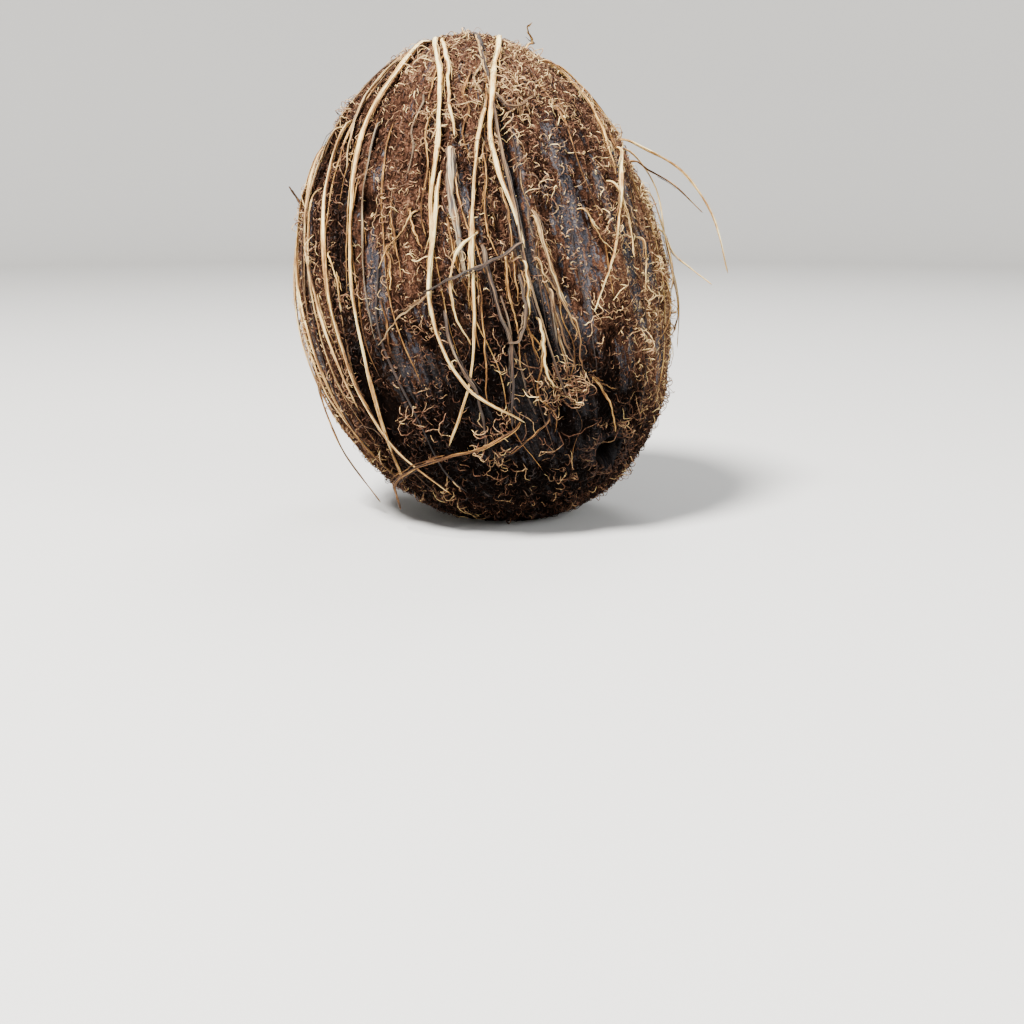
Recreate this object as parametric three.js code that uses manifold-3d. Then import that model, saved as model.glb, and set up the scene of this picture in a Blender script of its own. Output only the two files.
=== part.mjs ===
// A dehusked brown coconut standing on its stem end, in millimetres, +Z up.
// The nut leans the way it was set down. It rests on one small flat spot, and the origin is on that spot
// under the weight.
// Coir strands and tufts grow out of the shell, so the nut and its fibres are one solid.
import * as THREE from "three";
import { mergeVertices } from "three/addons/utils/BufferGeometryUtils.js";
import Module from "manifold-3d";

// Driving dimensions of the nut
const LENGTH = 144; // from the stem end to the tip
const WIDTH = 109; // across the middle
const TAPER = 0.045; // share of the width lost at the tip and gained at the stem end
const FULLNESS = 0.035; // share by which both ends are fuller than an ellipsoid
const BEND = 2.8; // how far both ends curve towards +X
const POLE_SHIFT = 0.15; // how far from the long axis the grain meets, in radii
const LEAN = 11.4; // degrees that the tip leans towards -X
const PITCH = 6; // degrees that the stem end swings towards -Y
const REST_DEPTH = 2.6; // height of the cap that the flat spot takes off

// Relief of the coir and the shell
const LOBES = { count: 3, height: 0.6, phase: 77 };
// Two layers of uneven grain: cells around and along the nut, the greatest height, and their seed
const GRAIN = [
  { around: 24, along: 4, height: 0.6, seed: 5 },
  { around: 48, along: 8, height: 0.6, seed: 8 },
];
const SEAM = { longitudes: [17, 137, -103], depth: 1.1, halfWidth: 4.5, bottom: -46, top: 52, fade: 13 };
const TIP = { height: 2.2, spread: 20 };
// How far a bare patch of shell lies below the coir, and where its edge starts and ends
const BARE = { depth: 0.9, inner: 0.75, outer: 1.15 };
// Bare patches: longitude, latitude, half width and half height, in degrees
const BARE_PATCHES = [
  [9, -27, 15, 12],
  [33, 8, 9, 20],
  [54, -6, 4, 12],
  [-30, 14, 4, 14],
  [-22, -16, 8, 11],
  [34, -48, 24, 9],
  [-60, 38, 6, 9],
  [112, 10, 8, 22],
  [168, -20, 12, 16],
  [-140, 24, 9, 18],
  [-112, -22, 8, 14],
];

// The three eyes at the stem end
const EYE = { latitude: -51, width: 8.4, floorWidth: 5.2, depth: 2.6, clear: 3, sides: 14 };
const EYE_LONGITUDES = [38, 158, -82];

// Grid of the nut's surface
const COLUMNS = 96;
const ROWS = 22;

// Long strands, each by hand as longitude, latitude and height over the coir's mean surface.
// The first point is the root, which is sunk into the nut.
const STRAND_HEIGHT = 1.4;
const ROOT_DEPTH = -1.8;
const RISE = 0.2; // share of the first stretch over which a strand comes up out of the nut
const STRANDS = {
  leftWide: { width: 1.5,
    path: [[-44, 76], [-37, 58], [-38, 38], [-37, 8], [-38, -10], [-44, -28], [-57, -42]] },
  leftFork: { width: 1.1, path: [[-42, 68], [-48, 50], [-44, 38], [-40, 30, 2.2]] },
  leftBand: { width: 1.4, path: [[-50, 46], [-51, 30], [-48, 8], [-46, -16], [-45, -32], [-38, -48, 2.5]] },
  leftInner: { width: 1.3, path: [[-70, 42], [-64, 22], [-55, 4], [-51, -12], [-48, -22, 2.6]] },
  leftOuter: { width: 1.2, path: [[-82, 44], [-79, 22], [-70, 5], [-64, -12], [-62, -28], [-60, -44]] },
  leftRim: { width: 1.2, path: [[-94, 40], [-90, 20, 2.4], [-86, 0, 2.6], [-80, -20], [-72, -38]] },
  leftBack: { width: 1.0, path: [[-112, 52], [-106, 26], [-102, 0, 2.2], [-98, -24], [-90, -44]] },
  centrePale: { width: 1.3, path: [[-40, 78], [-12, 56], [-7, 36], [-9, 20], [-11, 5], [-14, -5, 2]] },
  centreLong: { width: 1.2,
    path: [[-6, 27], [-9, 12], [-13, -1, 2.2], [-13, -13], [-9, -23], [3, -33, 2.6]] },
  centreGrey: { width: 0.9, path: [[-10, -4], [-10, -14, 2.4], [-8, -24], [-13, -38]] },
  tipShort: { width: 1.1, path: [[-28, 76], [-8, 58], [-4, 44], [-1, 33]] },
  stem: { width: 1.6, path: [[46, 80], [18, 56], [12, 38, 1.8], [11, 28], [14, 16], [16, 5]] },
  stemLeft: { width: 1.1,
    path: [[11, 42], [6, 30, 2.4], [3, 16], [0, 2, 2], [-3, -10], [-8, -20], [-25, -35]] },
  greyStrip: { width: 2.2, path: [[-3, 32], [-3, 20], [-2, 2]] },
  stick: { width: 0.9, path: [[17, 7], [8, 4, 3], [-4, 2, 3.4], [-14, 0, 3.4]] },
  curl: { width: 0.8, path: [[4, 11], [-4, 6, 2.6], [-7, -4, 2.6], [-5, -13]] },
  greyLong: { width: 1.1, path: [[4, 9], [5, -6, 2.2], [6, -14], [3, -24], [-2, -34]] },
  sweep: { width: 1.3, path: [[2, -34], [-12, -36, 3.5], [-32, -36, 5], [-50, -39, 6], [-62, -46, 7.5]] },
  seamLeft: { width: 0.9, path: [[14, 46], [15, 32], [16, 16], [17, 0], [18, -14], [21, -30]] },
  seamRight: { width: 0.9, path: [[21, 14], [22, 2], [24, -8], [27, -16]] },
  rightBright: { width: 1.1, path: [[70, 27], [57, 18, 2.4], [51, 9], [41, -2, 2.4], [32, -11, 2.6]] },
  rightShort: { width: 0.8, path: [[53, 18], [55, 9], [52, -1, 2]] },
  rightBrown: { width: 1.2, path: [[60, 62], [66, 47], [62, 33], [56, 18]] },
  rightEdge: { width: 1.1, path: [[66, 60], [78, 46], [82, 30]] },
  rightLoop: { width: 0.8, path: [[84, 28], [88, 15, 4], [88, 2, 2], [89, -12, 3], [88, -24, 2.4]] },
  strayUpper: { width: 1.2, path: [[82, 30], [88, 24, 6], [89, 16, 13], [89, 5, 17.5], [88, -7, 18.5]] },
  strayMiddle: { width: 0.9, path: [[78, 23], [86, 19, 4], [88, 14, 9], [89, 6, 15]] },
  strayLower: { width: 0.8, path: [[84, 6], [88, -1, 3.5], [89, -5, 8], [88, -9, 13.5]] },
  strayLeft: { width: 0.8, path: [[-88, 26], [-92, 28, 3.5], [-92, 31, 8]] },
  looseLeft: { width: 1.0, path: [[-98, -6], [-92, -16, 3], [-90, -30, 5.5], [-86, -44, 8]] },
  crown: { width: 0.9, path: [[70, 70], [84, 70, 3.5], [74, 72, 6], [86, 72, 8.5]] },
};
const STRAND_STEPS = { perPoint: 2, most: 13 };

// Strands of the far side, which follow the grain by rule
const BACK_STRANDS = {
  count: 15,
  longitudes: [100, 250],
  tops: [30, 64],
  lengths: [50, 100],
  bottom: -44,
  widths: [0.9, 1.4],
  wander: 6,
  places: [0, 0.35, 0.7, 1],
};

// Short curled tufts, placed evenly by the golden angle
const TUFTS = { count: 84, heights: [2.2, 3.6], length: 6.5, sideways: 0.6, width: 0.8, steps: 3, lowest: 7 };
// A tuft's curl past its root, as shares of its length and of its height
const TUFT_CURL = [[0.15, 0.7], [0.6, 1], [1, 0.8]];
const GOLDEN_ANGLE = 137.5;
const SEED = 11;

const COIR = new THREE.MeshStandardMaterial({ color: 0x6b4429, roughness: 0.95, metalness: 0 });

const { DEG2RAD, lerp, clamp, smoothstep, euclideanModulo } = THREE.MathUtils;
const wasm = await Module();
wasm.setup();

// Repeatable draws from 0 to 1
function makeRandom(seed) {
  let state = seed;
  return () => {
    state = (state * 1664525 + 1013904223) % 4294967296;
    return state / 4294967296;
  };
}

// Difference of two longitudes, from -180 to 180
function turn(a, b) {
  return euclideanModulo(a - b + 180, 360) - 180;
}

// One layer of grain: random heights on a grid of tall cells, joined smoothly
function makeGrain({ around, along, height, seed }) {
  const random = makeRandom(seed);
  const makeRow = () => Array.from({ length: around }, () => 2 * random() - 1);
  const rows = Array.from({ length: along + 1 }, makeRow);
  return (longitude, latitude) => {
    const across = (euclideanModulo(longitude, 360) / 360) * around;
    const up = ((latitude + 90) / 180) * along;
    const column = Math.floor(across);
    const row = Math.min(Math.floor(up), along - 1);
    const right = smoothstep(across - column, 0, 1);
    const [low, high] = [rows[row], rows[row + 1]].map((heights) =>
      lerp(heights[column % around], heights[(column + 1) % around], right),
    );
    return height * lerp(low, high, smoothstep(up - row, 0, 1)) * Math.cos(latitude * DEG2RAD);
  };
}
const GRAIN_LAYERS = GRAIN.map(makeGrain);

// How bare the shell is at a place, from 0 under coir to 1
function bareness(longitude, latitude) {
  const shares = BARE_PATCHES.map(([lon, lat, halfWidth, halfHeight]) =>
    Math.hypot(turn(longitude, lon) / halfWidth, (latitude - lat) / halfHeight),
  );
  return 1 - smoothstep(Math.min(...shares), BARE.inner, BARE.outer);
}

// Height of the coir's mean surface over the smooth egg: three lobes and the raised tip
function swell(longitude, latitude) {
  const lobe = LOBES.height * Math.cos(LOBES.count * (longitude - LOBES.phase) * DEG2RAD);
  const fromTip = (90 - latitude) / TIP.spread;
  return lobe * Math.cos(latitude * DEG2RAD) + TIP.height * Math.exp(-fromTip * fromTip);
}

// Height of the coir and shell over the smooth egg
function relief(longitude, latitude) {
  let height = swell(longitude, latitude);
  for (const grain of GRAIN_LAYERS) height += grain(longitude, latitude);
  const { bottom, top, fade } = SEAM;
  const along = smoothstep(latitude, bottom, bottom + fade) * (1 - smoothstep(latitude, top - fade, top));
  for (const seam of SEAM.longitudes) {
    const across = turn(longitude, seam) / SEAM.halfWidth;
    height -= SEAM.depth * along * Math.exp(-across * across);
  }
  return height - BARE.depth * bareness(longitude, latitude);
}

// The nut's own frame turned to the way it stands
const STANDING = new THREE.Matrix4()
  .makeRotationY(-LEAN * DEG2RAD)
  .multiply(new THREE.Matrix4().makeRotationX(-PITCH * DEG2RAD));

// A point over the nut. Longitude 0 faces -Y and 90 faces +X, latitude 90 is the tip.
function overNut(longitude, latitude, height) {
  const around = longitude * DEG2RAD;
  const up = latitude * DEG2RAD;
  const s = Math.sin(up);
  const unit = new THREE.Vector3(
    Math.cos(up) * Math.sin(around) + POLE_SHIFT * s * s,
    -Math.cos(up) * Math.cos(around),
    s,
  ).normalize();
  const across = (WIDTH / 2) * (1 - TAPER * unit.z + FULLNESS * unit.z * unit.z);
  const half = LENGTH / 2;
  const normal = new THREE.Vector3(unit.x / across, unit.y / across, unit.z / half).normalize();
  return new THREE.Vector3(unit.x * across + BEND * unit.z * unit.z, unit.y * across, unit.z * half)
    .addScaledVector(normal, height)
    .applyMatrix4(STANDING);
}

// A point over the coir's mean surface
function overCoir(longitude, latitude, height) {
  return overNut(longitude, latitude, swell(longitude, latitude) + height);
}

// A closed geometry as a manifold-3d solid
function toSolid(geometry) {
  const bare = geometry.clone();
  bare.deleteAttribute("normal");
  bare.deleteAttribute("uv");
  const merged = mergeVertices(bare, 1e-4);
  return new wasm.Manifold(
    new wasm.Mesh({
      numProp: 3,
      vertProperties: new Float32Array(merged.attributes.position.array),
      triVerts: new Uint32Array(merged.index.array),
    }),
  );
}

// A manifold-3d solid as a geometry to draw
function toGeometry(solid) {
  const mesh = solid.getMesh();
  const geometry = new THREE.BufferGeometry();
  geometry.setAttribute("position", new THREE.BufferAttribute(mesh.vertProperties, 3));
  geometry.setIndex(new THREE.BufferAttribute(mesh.triVerts, 1));
  return geometry.toNonIndexed();
}

// The nut with its grain, seams, tip and bare patches
function makeNut() {
  const geometry = new THREE.SphereGeometry(1, COLUMNS, ROWS);
  const position = geometry.attributes.position;
  for (let i = 0; i < position.count; i++) {
    const latitude = Math.asin(clamp(position.getY(i), -1, 1)) / DEG2RAD;
    const atPole = Math.abs(latitude) > 89.9;
    const longitude = atPole ? 0 : Math.atan2(position.getX(i), position.getZ(i)) / DEG2RAD;
    const point = overNut(longitude, latitude, relief(longitude, latitude));
    position.setXYZ(i, point.x, point.y, point.z);
  }
  return toSolid(geometry);
}

// The recess of one eye, with its open end clear of the shell
function makeEye(longitude) {
  const { latitude, width, floorWidth, depth, clear, sides } = EYE;
  const flare = (width - floorWidth) / 2 / depth;
  const mouth = width / 2 + flare * clear;
  const geometry = new THREE.CylinderGeometry(mouth, floorWidth / 2, depth + clear, sides);
  geometry.translate(0, (clear - depth) / 2, 0);
  const base = overNut(longitude, latitude, 0);
  const outward = overNut(longitude, latitude, 1).sub(base).normalize();
  geometry.applyQuaternion(new THREE.Quaternion().setFromUnitVectors(new THREE.Vector3(0, 1, 0), outward));
  geometry.translate(base.x, base.y, base.z);
  return toSolid(geometry);
}

// A fibre of triangular section along points
function makeFibre(points, width, steps) {
  const radius = width / 2;
  const section = new THREE.Shape();
  for (let corner = 0; corner < 3; corner++) {
    const angle = (corner * 2 * Math.PI) / 3;
    section[corner ? "lineTo" : "moveTo"](radius * Math.cos(angle), radius * Math.sin(angle));
  }
  section.closePath();
  const extrudePath = new THREE.CatmullRomCurve3(points, false, "centripetal");
  return toSolid(new THREE.ExtrudeGeometry(section, { steps, extrudePath }));
}

// A long strand over the nut, rooted at its first point
function makeStrand({ width, path }) {
  const points = path.map(([longitude, latitude, height = STRAND_HEIGHT], index) =>
    overCoir(longitude, latitude, index ? height : ROOT_DEPTH),
  );
  const [longitude, latitude] = path[0];
  const [nextLongitude, nextLatitude] = path[1];
  const justOut = overCoir(
    longitude + RISE * turn(nextLongitude, longitude),
    lerp(latitude, nextLatitude, RISE),
    STRAND_HEIGHT,
  );
  points.splice(1, 0, justOut);
  const steps = Math.min(STRAND_STEPS.most, Math.round(points.length * STRAND_STEPS.perPoint));
  return makeFibre(points, width, steps);
}

// The far side's strands
function backStrands(random) {
  const { count, longitudes, tops, lengths, bottom, widths, wander, places } = BACK_STRANDS;
  return Array.from({ length: count }, (_, i) => {
    const longitude = lerp(...longitudes, (i + 0.5) / count);
    const start = lerp(...tops, random());
    const end = Math.max(bottom, start - lerp(...lengths, random()));
    const stray = () => wander * (random() - 0.5);
    const path = places.map((share) => [longitude + stray(), lerp(start, end, share)]);
    return { width: lerp(...widths, random()), path };
  });
}

// A tuft: one short fibre that rises out of the coir and curls over
function makeTuft(index, random) {
  const { count, heights, length, sideways, width, steps, lowest } = TUFTS;
  const latitude = Math.asin(1 - (2 * index + 1) / count) / DEG2RAD;
  const longitude = index * GOLDEN_ANGLE;
  const height = lerp(...heights, random());
  const reach = length / (WIDTH / 2) / DEG2RAD;
  const heading = 2 * Math.PI * random();
  const side = (reach * sideways * Math.cos(heading)) / Math.cos(latitude * DEG2RAD);
  const down = reach * Math.sin(heading);
  const root = overCoir(longitude, latitude, ROOT_DEPTH);
  const curl = TUFT_CURL.map(([along, up]) =>
    overCoir(longitude + side * along, latitude - down * along, height * up),
  );
  return root.z > restHeight + lowest ? makeFibre([root, ...curl], width, steps) : null;
}

// Height of the resting plane in the standing frame, before the origin is set
function lowestOfEgg() {
  let lowest = Infinity;
  for (let latitude = -90; latitude <= -30; latitude++) {
    for (let longitude = 0; longitude < 360; longitude += 3) {
      lowest = Math.min(lowest, overNut(longitude, latitude, 0).z);
    }
  }
  return lowest;
}
const restHeight = lowestOfEgg() + REST_DEPTH;

// Everything below the resting plane
function belowRest() {
  const size = 2 * LENGTH;
  const geometry = new THREE.BoxGeometry(size, size, size);
  geometry.translate(0, 0, restHeight - size / 2);
  return toSolid(geometry);
}

function makeCoconut() {
  const random = makeRandom(SEED);
  const strands = [...Object.values(STRANDS), ...backStrands(random)].map(makeStrand);
  const tufts = Array.from({ length: TUFTS.count }, (_, i) => makeTuft(i, random)).filter(Boolean);
  const nut = EYE_LONGITUDES.reduce((solid, longitude) => solid.subtract(makeEye(longitude)), makeNut());
  const fused = [...strands, ...tufts].reduce((solid, fibre) => solid.add(fibre), nut);
  return toGeometry(fused.subtract(belowRest()));
}

const coconut = new THREE.Mesh(makeCoconut(), COIR);
coconut.name = "coconut";
coconut.position.z = -restHeight;

const part = new THREE.Group();
part.add(coconut);

export default part;
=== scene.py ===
# The looks of a dehusked brown coconut: its shell, the coir that covers it, and its long loose strands.
# Lengths are in metres and angles on the nut in degrees. Longitude 0 faces -Y and 90 faces +X, and latitude
# 90 is the tip.
import math
from types import SimpleNamespace

import bmesh
import bpy
import numpy as np
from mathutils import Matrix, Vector


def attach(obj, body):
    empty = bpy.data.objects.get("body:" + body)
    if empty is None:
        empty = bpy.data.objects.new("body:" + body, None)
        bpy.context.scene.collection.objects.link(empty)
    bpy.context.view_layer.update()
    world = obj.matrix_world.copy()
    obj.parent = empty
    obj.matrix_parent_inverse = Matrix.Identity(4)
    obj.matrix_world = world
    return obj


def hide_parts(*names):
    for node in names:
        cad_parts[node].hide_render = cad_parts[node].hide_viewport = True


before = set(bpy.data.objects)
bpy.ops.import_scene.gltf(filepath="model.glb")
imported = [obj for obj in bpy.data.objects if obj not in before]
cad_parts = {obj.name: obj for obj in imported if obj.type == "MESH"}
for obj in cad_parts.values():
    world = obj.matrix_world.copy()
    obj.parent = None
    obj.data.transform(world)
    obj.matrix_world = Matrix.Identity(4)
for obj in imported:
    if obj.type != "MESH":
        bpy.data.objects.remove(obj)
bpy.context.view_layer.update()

bl_info = {
    "name": "Coconut",
    "version": (1, 0, 0),
    "blender": (4, 5, 0),
    "location": "3D View > Sidebar > Coconut",
    "description": "Makes a coconut's shell, coir fibres and strands round its solid",
    "category": "Add Mesh",
}

MM = 0.001
PIECE_BODY = "root"
NODE = "coconut"

# Form of the nut, as the solid has it. The grooves are the scene's own, and its eyes are deeper.
LENGTH = 144 * MM
WIDTH = 109 * MM
TAPER = 0.045
FULLNESS = 0.035
BEND = 2.8 * MM
POLE_SHIFT = 0.15
LEAN = 11.4
PITCH = 6
REST_DEPTH = 2.6 * MM
LOBES = {"count": 3, "height": 0.6 * MM, "phase": 77}
TIP = {"height": 2.2 * MM, "spread": 20}
SEAM = {
    "longitudes": (17, 137, -103), "depth": 1.1 * MM, "half_width": 4.5, "bottom": -46, "top": 52, "fade": 13,
}
BARE = {"depth": 0.9 * MM, "inner": 0.75, "outer": 1.15}
EYES = {"longitudes": (38, 158, -82), "latitude": -51, "radius": 4.8 * MM, "depth": 5.0 * MM, "rim": 0.3 * MM}
# Edges of an eye's recess and of the dark in it, and the place and width of its rim, in radii of an eye. The
# dark is the eye's own dark with painted shade in the recess.
EYE_RECESS = 0.5, 1.1
EYE_DARK = 0.7, 1.15
EYE_RIM = 1.3, 0.22
GROOVE = {"depth": 1.5 * MM, "half_width": 1.6, "wander": 0.7, "clear": 2.6}
# Painted shade in the seams' cracks
GROOVE_SHADE = 0.25, 0.75  # shares of a groove's depth at which its dark starts and is full
MEAN_RADIUS = 57 * MM
FLOOR_GAP = 0.1 * MM  # least height of a fibre over the floor
SEED = 11  # the solid's seed for its tufts and its far side's strands
SEEDS = {
    "crumbs": 100, "strands": 105, "grain": 106, "hairs": 107, "tufts": 108, "rims": 109, "splinters": 110,
}

# Grain of the coir: cells around and along the nut, height and seed. The solid has the layers of GRAIN alone.
GRAIN = ((24, 4, 0.6 * MM, 5), (48, 8, 0.6 * MM, 8))
FINE_GRAIN = ((110, 26, 0.45 * MM, 21), (200, 64, 0.40 * MM, 22))
CRUMB = 0.14 * MM  # spread of the crumbs' heights in the felt
SHELL_SHARE = 0.3  # how much of the fine grain the bare shell has
# Deep gaps between clumps of coir: cells around and along, seed, depth, and the noise at which one starts
# and at which it is full
GAPS = {"around": 120, "along": 30, "seed": 61, "depth": 0.7 * MM, "start": 0.34, "full": 0.6}

# Bare patches of shell, which the solid has too: longitude, latitude, half width and half height
BARE_PATCHES = (
    (9, -27, 15, 12), (33, 8, 9, 20), (54, -6, 4, 12), (-30, 14, 4, 14), (-22, -16, 8, 11), (34, -48, 24, 9),
    (-60, 38, 6, 9), (112, 10, 8, 22), (168, -20, 12, 16), (-140, 24, 9, 18), (-112, -22, 8, 14),
)
# Smaller patches, where only the scene's coir is thin
SMALL_PATCHES = (
    (32, 27, 4, 8), (20, 24, 2.5, 12), (45, 16, 6, 8), (27, -12, 5, 13), (42, -20, 5, 12), (20, -10, 3, 16),
    (-17, -5, 3, 4), (-15, -41, 6, 4), (0, 20, 1.6, 9), (-3, -38, 11, 8), (24, -32, 12, 8), (-84, 30, 4, 10),
    (-88, 8, 3, 12), (-66, -8, 2.5, 12), (-30, -34, 5, 4), (62, 14, 3, 9), (66, -24, 4, 10), (-74, 44, 5, 6),
    (136, -30, 10, 12), (190, 16, 6, 14), (220, -8, 7, 18), (150, 34, 5, 12), (96, -28, 9, 9),
    (246, 20, 6, 12),
    (-62, 22, 2.0, 22), (-72, 0, 2.0, 22), (1, 12, 1.4, 14), (63, 24, 3, 10), (49, 10, 3, 9), (29, -16, 6, 8),
    (4, -44, 14, 4), (62, -2, 3, 10),
)
# Cells around and along, seed and share of the noise that frays a patch's edge
RAGGED = ((60, 10, 31, 0.5), (170, 18, 33, 0.6), (250, 64, 35, 0.3))

# Long strands of the front and sides: width in millimetres, tone from 0 dark to 1 straw, greyness, and the
# path as longitude, latitude and height over the coir's mean surface in millimetres. The paths are the
# solid's, but for one beside a seam that is moved about 1.3 mm off the crack.
STRAND_HEIGHT = 1.4
ROOT_DEPTH = -1.8
RISE = 0.2
STRANDS = (
    (1.5, 0.86, 0.1, ((-44, 76), (-37, 58), (-38, 38), (-37, 8), (-38, -10), (-44, -28), (-57, -42))),
    (1.1, 0.7, 0.5, ((-42, 68), (-48, 50), (-44, 38), (-40, 30, 2.2))),
    (1.4, 0.74, 0.1, ((-50, 46), (-51, 30), (-48, 8), (-46, -16), (-45, -32), (-38, -48, 2.5))),
    (1.3, 0.68, 0.2, ((-70, 42), (-64, 22), (-55, 4), (-51, -12), (-48, -22, 2.6))),
    (1.2, 0.76, 0.1, ((-82, 44), (-79, 22), (-70, 5), (-64, -12), (-62, -28), (-60, -44))),
    (1.2, 0.8, 0.3, ((-94, 40), (-90, 20, 2.4), (-86, 0, 2.6), (-80, -20), (-72, -38))),
    (1.0, 0.6, 0.3, ((-112, 52), (-106, 26), (-102, 0, 2.2), (-98, -24), (-90, -44))),
    (1.3, 0.97, 0.0, ((-40, 78), (-12, 56), (-7, 36), (-9, 20), (-11, 5), (-14, -5, 2))),
    (1.2, 0.92, 0.1, ((-6, 27), (-9, 12), (-13, -1, 2.2), (-13, -13), (-9, -23), (3, -33, 2.6))),
    (0.9, 0.42, 0.8, ((-10, -4), (-10, -14, 2.4), (-8, -24), (-13, -38))),
    (1.1, 0.93, 0.0, ((-28, 76), (-8, 58), (-4, 44), (-1, 33))),
    (1.6, 0.98, 0.0, ((46, 80), (18, 56), (12, 38, 1.8), (11, 28), (14, 16), (16, 5))),
    (1.1, 0.86, 0.1, ((11, 42), (6, 30, 2.4), (3, 16), (0, 2, 2), (-3, -10), (-8, -20), (-25, -35))),
    (2.2, 0.76, 0.9, ((-3, 32), (-3, 20), (-2, 2))),
    (0.9, 0.30, 0.9, ((17, 7), (8, 4, 3), (-4, 2, 3.4), (-14, 0, 3.4))),
    (0.8, 0.9, 0.0, ((4, 11), (-4, 6, 2.6), (-7, -4, 2.6), (-5, -13))),
    (1.1, 0.36, 0.8, ((4, 9), (5, -6, 2.2), (6, -14), (3, -24), (-2, -34))),
    (1.3, 0.6, 0.0, ((2, -34), (-12, -36, 3.5), (-32, -36, 5), (-50, -39, 6), (-62, -46, 7.5))),
    (0.9, 0.5, 0.7, ((13, 46), (14, 32), (15, 16), (15.5, 0), (16.5, -14), (19, -30))),
    (0.9, 0.6, 0.5, ((21, 14), (22, 2), (24, -8), (27, -16))),
    (1.1, 0.95, 0.0, ((70, 27), (57, 18, 2.4), (51, 9), (41, -2, 2.4), (32, -11, 2.6))),
    (0.8, 0.84, 0.0, ((53, 18), (55, 9), (52, -1, 2))),
    (1.2, 0.62, 0.0, ((60, 62), (66, 47), (62, 33), (56, 18))),
    (1.1, 0.72, 0.0, ((66, 60), (78, 46), (82, 30))),
    (0.8, 0.8, 0.1, ((84, 28), (88, 15, 4), (88, 2, 2), (89, -12, 3), (88, -24, 2.4))),
    (1.2, 0.86, 0.0, ((82, 30), (88, 24, 6), (89, 16, 13), (89, 5, 17.5), (88, -7, 18.5))),
    (0.9, 0.5, 0.0, ((78, 23), (86, 19, 4), (88, 14, 9), (89, 6, 15))),
    (0.8, 0.86, 0.0, ((84, 6), (88, -1, 3.5), (89, -5, 8), (88, -9, 13.5))),
    (0.8, 0.4, 0.2, ((-88, 26), (-92, 28, 3.5), (-92, 31, 8))),
    (1.0, 0.84, 0.2, ((-98, -6), (-92, -16, 3), (-90, -30, 5.5), (-86, -44, 8))),
    (0.9, 0.6, 0.0, ((70, 70), (84, 70, 3.5), (74, 72, 6), (86, 72, 8.5))),
)

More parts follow.
